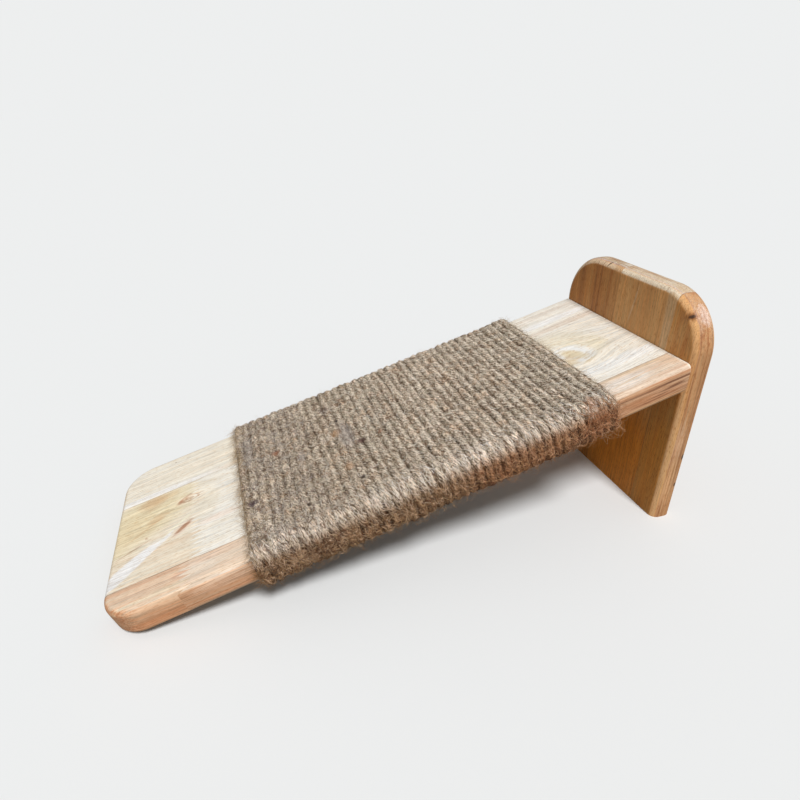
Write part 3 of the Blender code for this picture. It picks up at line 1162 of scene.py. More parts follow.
@dataclass
class RampPanel(GluedPanel):
    """The sloping panel: a near and a middle stave of two lamellas each, and a far stave.

    The finger joints have their distance from the nose.
    """

    width: float = 0.151
    corner_radius: float = 0.023
    near_stave: float = 0.0222
    middle_stave: float = 0.0835
    near_seam: float = 0.75
    near_joint: float = 0.052
    middle_joint: float = 0.0595

    @property
    def painted_end_highlight(self) -> Smudge:
        """A painted highlight along the upper end, where the ramp meets the board."""
        return Smudge((self.length / MM, 0), (2.2, 160), (1, 0.9, 0.76), 0.75)

    def _near_front_wood(self) -> WoodFinish:
        """Orange wood at the nose.

        Returns:
            The wood.
        """
        marks = (
            Smudge((18, -55.2), (60, 2.6), (0.6, 0.36, 0.23), 0.5, ragged=1.1),
            Smudge((51, -62), (9, 4.2), (0.72, 0.42, 0.29), 0.6, ragged=1.1),
            Smudge((22, -63), (30, 1.4), (0.66, 0.42, 0.28), 0.5, ragged=1.2),
            Smudge((38, -69.5), (50, 2.6), (0.9, 0.8, 0.6), 0.5, ragged=0.9),
            Smudge((54, -76), (60, 4), (0.97, 0.86, 0.7), 0.9, 0, 0.9, (17.3, 4)),
            Smudge((32, -76), (24, 5), (0.72, 0.38, 0.2), 0.6, 0, 1.2, (6, 5)),
            self.seams()[0],
        )
        # Its side tint is partly painted shade on its side.
        return WoodFinish(
            "orange_front", (0.86, 0.7, 0.53), (0.8, 0.58, 0.41), (0.62, 0.36, 0.22), seed=11,
            side=(0.95, 0.76, 0.63), streak=0.85, fibre=1.8, layers=0.35, marks=marks)

    def _near_rear_wood(self) -> WoodFinish:
        """Pinkish wood, with dark streaks along its side near the board.

        Returns:
            The wood.
        """
        marks = (
            Smudge((72, -57.5), (28, 3.4), (0.76, 0.54, 0.4), 0.65, ragged=1),
            Smudge((82, -60), (14, 9), (0.78, 0.6, 0.44), 0.4, ragged=1.1),
            Smudge((73, -76), (28, 5), (1.1, 1, 0.9), 0.9, 0, 1, (14, 5.5)),
            Smudge((76, -75), (30, 6), (0.8, 0.64, 0.48), 0.5, 0, 1, (20.5, 2)),
            Smudge((356, -64), (26, 9), (0.95, 0.88, 0.8), 0.75, ragged=0.9),
            Smudge((397, -60), (14, 8), (0.8, 0.58, 0.4), 0.6, -20, 0.9),
            Smudge((372, -55), (34, 1.8), (0.72, 0.52, 0.33), 0.7, ragged=1.1),
            Smudge((360, -64), (22, 1.2), (0.74, 0.55, 0.36), 0.6, 6, ragged=1.1),
            Smudge((368, -75), (60, 6), (0.84, 0.74, 0.62), 0.3, 0, 0.8, (21.5, 3.4)),
            Smudge((366, -75), (60, 4), (0.92, 0.68, 0.48), 0.5, 0, 1.2, (16.8, 1.3)),
            Smudge((372, -75), (56, 5), (0.64, 0.45, 0.31), 0.45, 0, 0.8, (18.8, 0.9)),
            Smudge((358, -76), (22, 4), (0.56, 0.3, 0.16), 0.7, 0, 1.2, (8.5, 4)),
            Smudge((370, -76), (40, 4), (0.67, 0.4, 0.245), 0.6, 0, 1.2, (9, 5)),
            Smudge((370, -76), (50, 4), (0.86, 0.66, 0.44), 0.7, 0, 0.9, (2.8, 2.6)),
            Smudge((374, -75), (60, 4), (0.24, 0.1, 0.05), 0.8, 0, 1.2, (14.4, 1.1)),
            Smudge((384, -75), (17, 4), (0.2, 0.08, 0.04), 0.85, 0, 1.2, (9.8, 0.8)),
            Smudge((374, -75), (13, 4), (0.22, 0.09, 0.045), 0.75, 0, 1.2, (8, 0.7)),
            Smudge((388, -75), (9, 4), (0.2, 0.08, 0.04), 0.8, 0, 1.2, (10.9, 0.7)),
            Smudge((366, -75), (26, 4), (0.34, 0.15, 0.08), 0.5, 0, 1.2, (6, 0.8)),
            # A painted highlight along the upper end.
            self.painted_end_highlight,
            self.seams()[0],
        )
        # Its side tint is partly painted shade on its side, and its arris colour a painted highlight.
        return WoodFinish(
            "orange_rear", (0.88, 0.75, 0.61), (0.83, 0.67, 0.52), (0.7, 0.48, 0.34), seed=21,
            side=(0.9, 0.71, 0.57), arris=(0.81, 0.63, 0.47), fibre=1.7, layers=0.55, marks=marks)

    def _middle_front_wood(self) -> WoodFinish:
        """Yellow wood with an amber stain, a knot, and white and dark slanting streaks.

        Returns:
            The wood.
        """
        marks = (
            Smudge((12, 5), (66, 32), HONEY, 0.85, 26, 0.7),
            Smudge((14, -2), (20, 16), (0.8, 0.62, 0.38), 0.3, 26, 1.6),
            Smudge((24, -4), (26, 1.2), AMBER, 0.35, 30, 1.4),
            Smudge((30, 8), (26, 1), (0.9, 0.82, 0.6), 0.5, 30, 1.2),
            Knot((54, 11.5), 4.6, 2.1, 2, UMBER, 0.45),
            Smudge((26, 23.5), (13, 9.5), AMBER, 0.5, 0, 1),
            Smudge((34, 25), (15, 6), AMBER, 0.28, 0, 1.2),
            Smudge((30.5, 2.6), (9, 5), AMBER, 0.42, 15, 1.1),
            Smudge((24.2, -14.2), (1.4, 1.4), UMBER, 0.45, 0, 0.6),
            Smudge((49.5, 11.6), (7, 4.2), UMBER, 0.5, 24, 1.3),
            Smudge((47.5, 11), (3.4, 2.8), UMBER, 0.75, 40, 1.1),
            Smudge((53, 15.4), (6.5, 0.9), UMBER, 0.6, 14, 0.8),
            Smudge((53.5, 8.6), (6, 0.8), UMBER, 0.55, 8, 0.8),
            Smudge((60.5, 13.2), (5, 0.7), UMBER, 0.55, -8, 0.9),
            Smudge((61, 10.4), (4.5, 0.6), UMBER, 0.45, 6, 0.9),
            Smudge((15.5, -21), (17, 0.9), UMBER, 0.45, 19, 0.9),
            Smudge((8, -41.5), (36, 6.8), (0.89, 0.88, 0.87), 0.95, 37, 0.3, soft=0.55),
            Smudge((33, -25.5), (17, 2.8), (0.89, 0.88, 0.86), 0.8, 38, 0.3, soft=0.6),
            Smudge((46, -13.5), (19, 1.5), (0.91, 0.85, 0.66), 0.9, 36, 0.5),
            Smudge((50, -19), (11, 4.2), (0.78, 0.56, 0.43), 0.6, 36, 0.5),
            Smudge((50.3, -18.2), (9.2, 2.5), UMBER, 0.85, 36, 0.4),
            *self.seams(),
        )
        return WoodFinish(
            "yellow_front", (0.9, 0.85, 0.75), (0.86, 0.77, 0.62), (0.77, 0.62, 0.46), seed=31,
            streak=0.8, fibre=1.7, marks=marks)

    def _middle_rear_wood(self) -> WoodFinish:
        """Cream wood with the knot's other half, and a hidden knot's rings near the board.

        Returns:
            The wood.
        """
        marks = (
            Knot((54, 11.5), 4.6, 2.1, 2, UMBER, 0.4),
            Smudge((61.5, 13.4), (5.5, 0.7), UMBER, 0.6, -8, 0.9),
            Smudge((61.5, 10.6), (5, 0.7), UMBER, 0.55, 6, 0.9),
            Smudge((62, 8), (5, 0.6), UMBER, 0.45, 12, 0.9),
            Knot((352, -9), 26, 1.2, 9, (0.82, 0.7, 0.5), 0.2, 1),
            Smudge((65, 2), (14, 26), (0.84, 0.73, 0.53), 0.4, 0, 1.2),
            Smudge((61, 4), (3.5, 0.6), UMBER, 0.4, -6, 0.9),
            Smudge((75, -22), (22, 4), (0.83, 0.66, 0.54), 0.5, ragged=0.9),
            Smudge((372, -39), (60, 8), CHALK, 0.75, ragged=1),
            Smudge((355, 2), (34, 27), (0.84, 0.75, 0.56), 0.65, -52, 1),
            Smudge((352, -8), (22, 14.5), CHALK, 0.9, -56, 0.7),
            Smudge((352.2, -10), (14, 6.5), (0.8, 0.66, 0.42), 0.85, -56, 1),
            Smudge((346, -16), (8, 7), (0.8, 0.64, 0.4), 0.7, 0, 1.2),
            Smudge((357, -25), (10, 1.6), (0.82, 0.7, 0.5), 0.75, 17, 0.8),
            Smudge((376, -4), (9, 8), (0.86, 0.76, 0.54), 0.4, -40, 1.2),
            # A painted highlight along the upper end.
            self.painted_end_highlight,
            *self.seams(),
        )
        return WoodFinish(
            "cream_rear", (0.92, 0.89, 0.82), (0.89, 0.84, 0.74), (0.81, 0.71, 0.57), seed=41,
            streak=0.8, fibre=1.7, marks=marks)

    def _far_wood(self) -> WoodFinish:
        """Pale wood with a few pink and white streaks.

        Returns:
            The wood.
        """
        marks = (
            Smudge((22, 33.2), (75, 4.6), (0.93, 0.91, 0.88), 0.9, ragged=0.6),
            Smudge((372, 54), (80, 40), (0.89, 0.86, 0.8), 0.55),
            Smudge((372, 49), (70, 5.5), (0.92, 0.91, 0.89), 0.8, ragged=0.8),
            Smudge((375, 37), (50, 5.5), (0.76, 0.6, 0.47), 0.5, ragged=1.3),
            Smudge((372, 65), (50, 4), (0.78, 0.64, 0.52), 0.4, ragged=1.2),
            Smudge((12, 29.6), (14, 0.8), UMBER, 0.5, ragged=0.8),
            Smudge((41, 67), (1, 0.5), (0.25, 0.15, 0.08), 0.9),
            self.seams()[1],
        )
        # Its side tint is partly painted shade on its side.
        return WoodFinish(
            "pale_far", (0.9, 0.86, 0.77), (0.86, 0.79, 0.66), (0.78, 0.64, 0.5), seed=51,
            side=(0.9, 0.8, 0.68), streak=0.6, fibre=1.8, marks=marks)

    def lamellas(self) -> list[Lamella]:
        """The panel's five lamellas, with their wood.

        Returns:
            The lamellas, from the near side to the far side.
        """
        side, first, second = self.width / 2, self.near_line, self.far_line
        return [
            Lamella("ramp_lamella_near_front", "orange_wood", -side, first,
                    self._near_front_wood(), end=self.near_joint),
            Lamella("ramp_lamella_near_rear", "orange_wood", -side, first,
                    self._near_rear_wood(), start=self.near_joint),
            Lamella("ramp_lamella_middle_front", "yellow_wood", first, second,
                    self._middle_front_wood(), end=self.middle_joint),
            Lamella("ramp_lamella_middle_rear", "cream_wood", first, second,
                    self._middle_rear_wood(), start=self.middle_joint),
            Lamella("ramp_stave_far", "pale_wood", second, side, self._far_wood()),
        ]


@dataclass
class UprightBoard(GluedPanel):
    """The upright panel of three staves."""

    edge_round: float = 0.006
    width: float = 0.1524
    corner_radius: float = 0.040
    near_stave: float = 0.0263
    middle_stave: float = 0.0603

    def _near_wood(self) -> WoodFinish:
        """Tan wood with a knot at its rounded corner and small dark marks along its side.

        Returns:
            The wood.
        """
        marks = (
            Smudge((24, -62), (28, 9), (0.84, 0.48, 0.19), 0.3, 50, 0.8, (2, 7)),
            Smudge((16, -62), (26, 10), (0.98, 0.64, 0.3), 0.85, 50, 0.9, (9.5, 5.5)),
            Smudge((107, -76), (24, 6), (0.86, 0.46, 0.155), 0.75, 0, 1, (5, 6.5)),
            Smudge((142, -76), (30, 6), (0.93, 0.49, 0.145), 0.6, 0, 1, (6.5, 5.5)),
            Smudge((122, -73.5), (72, 5), (1, 0.66, 0.36), 0.4, 0, 1, (1.6, 2.4)),
            # Painted light: the redder tone of the front face in the ramp's shade.
            Smudge((135, -62), (50, 16), (1, 0.42, 0.066), 0.6, 0, 0.8, (0, 0.5)),
            Smudge((90, -76), (95, 5), (0.46, 0.18, 0.045), 0.6, 0, 1.3, (10.6, 1.5)),
            Smudge((14, -62), (11, 6), (0.6, 0.26, 0.085), 0.6, 55, 1.2, (1, 3)),
            Smudge((14, -63.5), (5, 3.6), RUSSET, 0.85, 60, 0.8, (1.8, 3.6)),
            Smudge((14.2, -63.6), (2.4, 1.5), BARK, 0.95, 60, 0.5, (1.8, 4)),
            Smudge((33.5, -73), (1.6, 0.8), BARK, 0.6, 40, 0.6, (4, 3)),
            Smudge((88, -76), (3, 1.2), BARK, 0.8, 0, 0.5, (14.5, 2)),
            Smudge((118.5, -76), (3.6, 2.4), BARK, 0.95, 0, 0.5, (13.6, 2.4)),
            Smudge((143, -76), (2.4, 1.8), BARK, 0.9, 0, 0.5, (13, 1.8)),
            self.seams()[0],
        )
        # Its side tint paints its edges lighter than its shaded face, and its arris colour is a painted
        # highlight.
        return WoodFinish(
            "tan_near", (0.74, 0.385, 0.12), (0.68, 0.315, 0.082), (0.51, 0.2, 0.05), seed=61,
            side=(0.97, 1.16, 2.1), arris=(0.93, 0.53, 0.24), fibre=1.7, pores=0.9, layers=0.6,
            marks=marks)

    def _middle_wood(self) -> WoodFinish:
        """Lighter tan wood, redder where the ramp shades it.

        Returns:
            The wood.
        """
        marks = (
            Smudge((14, -46), (76, 6.5), (0.78, 0.53, 0.29), 0.7, 0, 0.5, (0, 1.6)),
            # Painted light: the redder tone of the front face in the ramp's shade.
            Smudge((138, -20), (60, 70), (0.95, 0.345, 0.038), 0.9, 0, 0.5, (0, 0.5)),
            Smudge((70, -38.6), (90, 0.8), RUSSET, 0.4, 0, 0.9),
            Smudge((60, 20), (110, 3), SAND, 0.5, 1, 0.9),
            Smudge((21.5, -9.5), (19, 1.1), SAND, 0.75, 10, 0.5),
            Smudge((0, -6), (4, 50), (0.56, 0.25, 0.08), 0.55, 0, 1.5, (9.5, 1.8)),
            *self.seams(),
        )
        # Its side tint paints its edges lighter than its shaded face, and its arris colour is a painted
        # highlight.
        return WoodFinish(
            "tan_middle", (0.79, 0.45, 0.175), (0.74, 0.385, 0.135), (0.6, 0.285, 0.09), seed=71,
            side=(0.99, 1.5, 3), arris=(1, 0.87, 0.68), streak=0.7, fibre=2, pores=0.9, layers=0.7,
            marks=marks)

    def _far_wood(self) -> WoodFinish:
        """The darkest tan wood, with russet streaks.

        Returns:
            The wood.
        """
        marks = (
            Smudge((60, 33), (80, 1.1), RUSSET, 0.8, 0.6, 0.6),
            # Painted light: the redder tone of the front face in the ramp's shade.
            Smudge((138, 50), (60, 60), (0.82, 0.3, 0.035), 0.75, 0, 0.5, (0, 0.5)),
            Smudge((50, 13), (100, 9), (0.72, 0.37, 0.125), 0.6, 0, 0.8),
            Smudge((30, 38.5), (34, 1.4), RUSSET, 0.55, -2, 0.8),
            Smudge((30, 55), (60, 3.5), RUSSET, 0.35, 0, 1.2),
            Smudge((2, 27), (3.2, 0.8), BARK, 0.9, 30, 0.3, (2.5, 4)),
            Smudge((1.5, 40), (6, 16), (0.5, 0.2, 0.06), 0.5, 0, 1.5, (9.5, 1.8)),
            self.seams()[1],
        )
        # Its side tint paints its edges lighter than its shaded face, and its arris colour is a painted
        # highlight.
        return WoodFinish(
            "tan_far", (0.62, 0.29, 0.085), (0.54, 0.225, 0.058), (0.42, 0.16, 0.04), seed=81,
            side=(1.16, 2.1, 5.4), arris=(0.92, 0.7, 0.48), fibre=2, pores=0.9, layers=0.7, marks=marks)

    def lamellas(self) -> list[Lamella]:
        """The panel's three staves, with their wood.

        Returns:
            The staves, from the near side to the far side.
        """
        side, first, second = self.width / 2, self.near_line, self.far_line
        return [
            Lamella("board_stave_near", "tan_wood", -side, first, self._near_wood()),
            Lamella("board_stave_middle", "tan_wood", first, second, self._middle_wood()),
            Lamella("board_stave_far", "tan_wood", second, side, self._far_wood()),
        ]


class FibreField:
    """Smooth random heights over a plane, which repeat from one side to the other."""

    def __init__(self, rng: np.random.Generator, rows: int, columns: int) -> None:
        """Draw the heights, which repeat after so many rows along and columns across."""
        self.heights = rng.random((rows, columns))

    def at(self, along: Array, across: Array) -> Array:
        """Read the field.

        Args:
            along: Places along it, in steps.
            across: Places across it, in steps.

        Returns:
            Heights from 0 to 1.
        """
        rows, columns = self.heights.shape
        i, j = np.floor(along).astype(int), np.floor(across).astype(int)
        a, b = along - i, across - j
        a, b = a * a * (3 - 2 * a), b * b * (3 - 2 * b)
        i, j = i % rows, j % columns
        k, m = (i + 1) % rows, (j + 1) % columns
        near = self.heights[i, j] * (1 - a) + self.heights[k, j] * a
        far = self.heights[i, m] * (1 - a) + self.heights[k, m] * a
        return near * (1 - b) + far * b


SWAYS_EACH_TURN = 8
BULGES_EACH_TURN = 17
SWELL_ROWS = 2048
RIDGE_ROWS = 997
FIELD_COLUMNS = 64


@dataclass
class RopeWinding:
    """The jute rope: 41 turns round the ramp in an even helix, with both ends underneath.

    Attributes:
        ramp: What it is wound round.
        finish: Its material.
        pitch: The distance from turn to turn.
        turns: How many turns there are.
        front_turns: How many of them the front CAD node holds.
        first_turn: The middle of the first turn, from the nose.
        radius: The rope's radius.
        spread: How many times wider than high a turn is.
        seat: The height of its centre line over the wood.
        tail_swing: How far each end swings away to its staple.
        twist: Which way its fibres wind.
        lay_angle: The angle of its fibres to its length.
        bridge: How full the gaps between turns are under loose fibres, in radii.
        shift: How far turns lie off their places.
        sway: How far they bend sideways.
        fidget: The same over short stretches.
        proud: How far stretches stand out.
        bulge: How far it bulges beside and under the ramp.
        pressed: How much flatter it is over the ramp's edges.
        uneven: How much its thickness varies, as a share.
        bundles: How many bundles of fibre go round it, and their length and height, by kind.
        open_half: Half the angle of its side that doesn't lie on the wood.
        ring_step: The distance from ring to ring of its mesh.
        open_columns, hidden_columns: How many points of a ring are off and on the wood.
        turns_each: How many turns a piece has, at most.
        seed: Where its random numbers start.
        sways, swells, bulges, ridges: The random fields that all this is drawn from.
    """

    ramp: GluedPanel
    finish: JuteFinish
    pitch: float = 0.0060
    turns: int = 41
    front_turns: int = 21
    first_turn: float = 0.09625
    radius: float = 0.0026
    spread: float = 1.29
    seat: float = 0.0026
    tail_swing: float = 0.006
    twist: Twist = Twist.RIGHT
    lay_angle: float = math.radians(23)
    bridge: float = 0.60
    shift: float = 0.0006
    sway: float = 0.0009
    fidget: float = 0.0009
    proud: float = 0.0005
    bulge: float = 0.0018
    pressed: float = 0.0005
    uneven: float = 0.10
    bundles: tuple[tuple[int, float, float], ...] = (
        (7, 0.024, 0.00024), (16, 0.009, 0.00022), (31, 0.0035, 0.0002))
    open_half: float = math.radians(128)
    ring_step: float = 0.0009
    open_columns: int = 40
    hidden_columns: int = 4
    turns_each: int = 4
    seed: int = 7
    sways: FibreField = field(init=False)
    swells: FibreField = field(init=False)
    bulges: FibreField = field(init=False)
    ridges: list[FibreField] = field(init=False)

    def __post_init__(self) -> None:
        """Draw everything random about the rope."""
        rng = np.random.default_rng(self.seed)
        self.sways = FibreField(rng, SWAYS_EACH_TURN, FIELD_COLUMNS)
        self.swells = FibreField(rng, SWELL_ROWS, FIELD_COLUMNS)
        self.bulges = FibreField(rng, BULGES_EACH_TURN, FIELD_COLUMNS)
        self.ridges = [FibreField(rng, RIDGE_ROWS, count) for count, _, _ in self.bundles]

    @property
    def corner(self) -> float:
        """Radius of the rope's centre line round the ramp's edges."""
        return self.ramp.edge_round + self.seat

    @property
    def girth(self) -> float:
        """Length of one turn."""
        flats = 2 * (self.ramp.width + self.ramp.thickness) - 8 * self.ramp.edge_round
        return flats + math.tau * self.corner

    def _section(self, travel: Array) -> tuple[Array, ...]:
        """The rope's centre line across the ramp, from the middle of the underside to the far side.

        Args:
            travel: How far along one turn.

        Returns:
            Y, Z and the outward normal's Y and Z.
        """
        half = self.ramp.width / 2 - self.ramp.edge_round
        tall = self.ramp.thickness - 2 * self.ramp.edge_round
        arc = self.corner * math.pi / 2
        low, high = self.ramp.edge_round, self.ramp.thickness - self.ramp.edge_round
        stretches = [
            (half, (0, low), -math.pi / 2, False), (arc, (half, low), -math.pi / 2, True),
            (tall, (half, low), 0, False), (arc, (half, high), 0, True),
            (2 * half, (half, high), math.pi / 2, False),
            (arc, (-half, high), math.pi / 2, True), (tall, (-half, high), math.pi, False),
            (arc, (-half, low), math.pi, True), (half, (-half, low), -math.pi / 2, False),
        ]
        y, z, angle = np.zeros((3, len(travel)))
        begin, slack = 0, 1e-9
        for length, (y0, z0), facing, bends in stretches:
            here = (travel >= begin - slack) & (travel <= begin + length + slack)
            gone = travel[here] - begin
            turned = facing + (gone / self.corner if bends else np.zeros_like(gone))
            straight = np.zeros_like(gone) if bends else gone
            y[here] = y0 + self.corner * np.cos(turned) - straight * math.sin(facing)
            z[here] = z0 + self.corner * np.sin(turned) + straight * math.cos(facing)
            angle[here] = turned
            begin += length
        return y, z, np.cos(angle), np.sin(angle)

    def _unevenness(self, travel: Array, length: float, row: float) -> Array:
        """Smooth values along the rope from -0.5 to 0.5, drawn at steps of the given length."""
        return self.swells.at(travel / length, np.full_like(travel, row)) - 0.5

    def _along(self, travel: Array, turn: Array, rest: Array) -> Array:
        """Where the rope's centre line lies along the ramp.

        Args:
            travel: How far along the rope.
            turn: The number of the turn.
            rest: How far along that turn.

        Returns:
            X in the ramp's frame.
        """
        under = self.ramp.width / 2 - self.ramp.edge_round
        early = np.where(turn == 0, np.clip(1 - rest / under, 0, 1), 0)
        late = np.clip(1 - (self.girth - rest) / under, 0, 1)
        late = np.where(turn == self.turns - 1, late, 0)
        x = self.first_turn + (travel / self.girth - 0.5) * self.pitch
        x = x + (self.tail_swing - self.pitch / 2) * (late - early)
        place = rest / self.girth * SWAYS_EACH_TURN
        sway = self.sways.at(place, travel / self.girth * 0.45) - 0.5
        x = x + self.shift * self._unevenness(travel, self.girth, 15) + self.sway * sway
        return x + self.fidget * self._unevenness(travel, 0.012, 5)

    def point(self, travel: Array, around: Array, lift: Array) -> Array:
        """A point near the rope's surface.

        Args:
            travel: How far along the rope.
            around: The angle round it, from 0 on its outer side.
            lift: The distance from its centre line.

        Returns:
            Points in the ramp's frame.
        """
        travel = np.clip(travel, 0, self.girth * self.turns - 1e-6)
        turn = np.minimum((travel / self.girth).astype(int), self.turns - 1)
        rest = travel - turn * self.girth
        y, z, ny, nz = self._section(rest)
        x = self._along(travel, turn, rest)
        proud = self.proud * self._unevenness(travel, 0.017, 9)
        place = rest / self.girth * BULGES_EACH_TURN
        bulge = self.bulges.at(place, travel / self.girth * 0.35) - 0.5
        pressed = self.pressed * (1 - np.cos(4 * np.arctan2(nz, ny))) / 2
        out = lift * np.cos(around) + proud + self.bulge * bulge * (1 - nz) / 2 - pressed
        side = lift * np.sin(around) * self.spread
        return np.stack([x + side, y + out * ny, z + out * nz], -1)

    def over(self, travel: Array, across: Array, rise: Array) -> Array:
        """A point over the winding, on whichever turn lies there.

        Args:
            travel: How far along the rope.
            across: How far to one side of its centre line, which may reach other turns.
            rise: How high over the turns, whose gaps count as half filled.

        Returns:
            Points in the ramp's frame.
        """
        turn = np.floor(travel / self.girth)
        step = np.clip(np.round(across / self.pitch), -turn, self.turns - 1 - turn)
        travel = travel + step * self.girth
        across = (across - step * self.pitch) / self.spread
        skin = self.surface(travel, np.arcsin(np.clip(across / self.radius, -1, 1)))
        filled = self.bridge * self.radius - np.maximum(np.abs(across) - self.radius, 0)
        height = np.sqrt(np.maximum(skin ** 2 - across ** 2, 0))
        height = np.maximum(height, filled) + rise
        return self.point(travel, np.arctan2(across, height), np.hypot(across, height))

    def surface(self, travel: Array, around: Array) -> Array:
        """The rope's radius, with its squeezed section, its bundles of fibre and its thick places.

        Args:
            travel: How far along the rope.
            around: The angle round it.

        Returns:
            The distance from its centre line.
        """
        radius = self.radius * (1 + self.uneven * self._unevenness(travel, 0.026, 0))
        wound = travel * math.tan(self.lay_angle) / (math.tau * self.radius) * self.twist.value
        for ridges, (count, length, height) in zip(self.ridges, self.bundles):
            ridge = ridges.at(travel / length, (around / math.tau + wound) * count)
            radius = radius + height * (1 - 2 * np.abs(2 * ridge - 1))
        return radius

    def columns(self) -> Array:
        """Angles round the rope: many on its open side and few where it lies on the wood.

        Returns:
            The angle of each point of a ring.
        """
        half = self.open_half
        shown = np.linspace(-half, half, self.open_columns, endpoint=False)
        hidden = np.linspace(half, math.tau - half, self.hidden_columns, endpoint=False)
        return np.r_[shown, hidden]

    def length_mesh(self, name: str, start: int, stop: int) -> Mesh:
        """The rope from the start of one turn to the start of another.

        Args:
            name: The mesh's name.
            start: The first turn.
            stop: The turn after the last.

        Returns:
            The mesh, with a map "lay" that runs along and round the rope, and a map for baking.
        """
        per_turn = round(self.girth / self.ring_step)
        rings = (stop - start) * per_turn + 1
        travel = self.girth * (start + np.arange(rings) / per_turn)
        angles = self.columns()
        count = len(angles)
        s, a = np.meshgrid(travel, angles, indexing="ij")
        s, a = s.ravel(), a.ravel()
        points = self.point(s, a, self.surface(s, a))
        i = np.arange(rings - 1)[:, None] * count
        j = np.arange(count)
        k = (j + 1) % count
        walls = np.stack([i + j, i + k, i + k + count, i + j + count], -1).reshape(-1, 4)
        caps = [j[None, ::-1], j[None, :] + (rings - 1) * count]
        mesh = quick_mesh(name, points, [walls, *caps])
        self._add_maps(mesh, travel, angles, per_turn)
        return mesh

    def _add_maps(self, mesh: Mesh, travel: Array, angles: Array,
                  per_turn: int) -> None:
        """Give a length of rope its two maps.

        Args:
            mesh: The mesh, whose walls come first, ring by ring.
            travel: How far along the rope each ring is.
            angles: The angles round it.
            per_turn: How many rings a turn has.
        """
        steps, count = len(travel) - 1, len(angles)
        ring, column = np.meshgrid(np.arange(steps), np.arange(count), indexing="ij")
        ring, column = ring.ravel(), column.ravel()
        ends = np.r_[angles, angles[0] + math.tau]
        left, right = ends[column], ends[column + 1]
        low, high = travel[ring], travel[ring + 1]
        around = np.stack([left, right, right, left], -1) * self.radius
        along = np.stack([low, low, high, high], -1)
        lay = np.zeros((len(mesh.loops), 2))
        lay[:steps * count * 4] = np.stack([along.ravel(), around.ravel()], -1)
        add_map(mesh, "lay", lay)

        folds = 2 * (steps // per_turn)
        fold_steps = per_turn / 2
        row = np.minimum((ring / fold_steps).astype(int), folds - 1)
        begin = (ring - row * fold_steps) / (fold_steps + 1)
        end = begin + 1 / (fold_steps + 1)
        span = ends[-1] - ends[0]
        margin, rim = 0.06, 0.005
        bottom = (row + margin + (1 - 2 * margin) * (left - ends[0]) / span) / folds
        top = (row + margin + (1 - 2 * margin) * (right - ends[0]) / span) / folds
        bake = np.zeros((len(mesh.loops), 2))
        u = np.stack([begin, begin, end, end], -1) * (1 - 2 * rim) + rim
        v = np.stack([bottom, top, top, bottom], -1)
        bake[:steps * count * 4] = np.stack([u.ravel(), v.ravel()], -1)
        add_map(mesh, "OFBake", bake)

    def lengths(self) -> Iterator[tuple[int, int, str]]:
        """Split the rope into lengths of a few turns, none across the two CAD nodes.

        Yields:
            The first turn, the turn after the last, and the CAD node.
        """
        parts = ((0, self.front_turns, "rope_winding_front"),
                 (self.front_turns, self.turns, "rope_winding_rear"))
        for begin, end, node in parts:
            pieces = math.ceil((end - begin) / self.turns_each)
            marks = [begin + round(i * (end - begin) / pieces) for i in range(pieces + 1)]
            for start, stop in zip(marks, marks[1:]):
                yield start, stop, node

    def build(self) -> list[Object]:
        """Build, dress and place the rope.

        Returns:
            Its lengths, from the front.
        """
        material = self.finish.material(self.ramp.width / 2)
        pieces = []
        for number, (start, stop, node) in enumerate(self.lengths(), 1):
            name = f"rope_turns_{number:02d}"
            thing = new_object(name, self.length_mesh(name, start, stop), self.ramp.place)
            pieces.append(finished(thing, material, [node]))
        return pieces


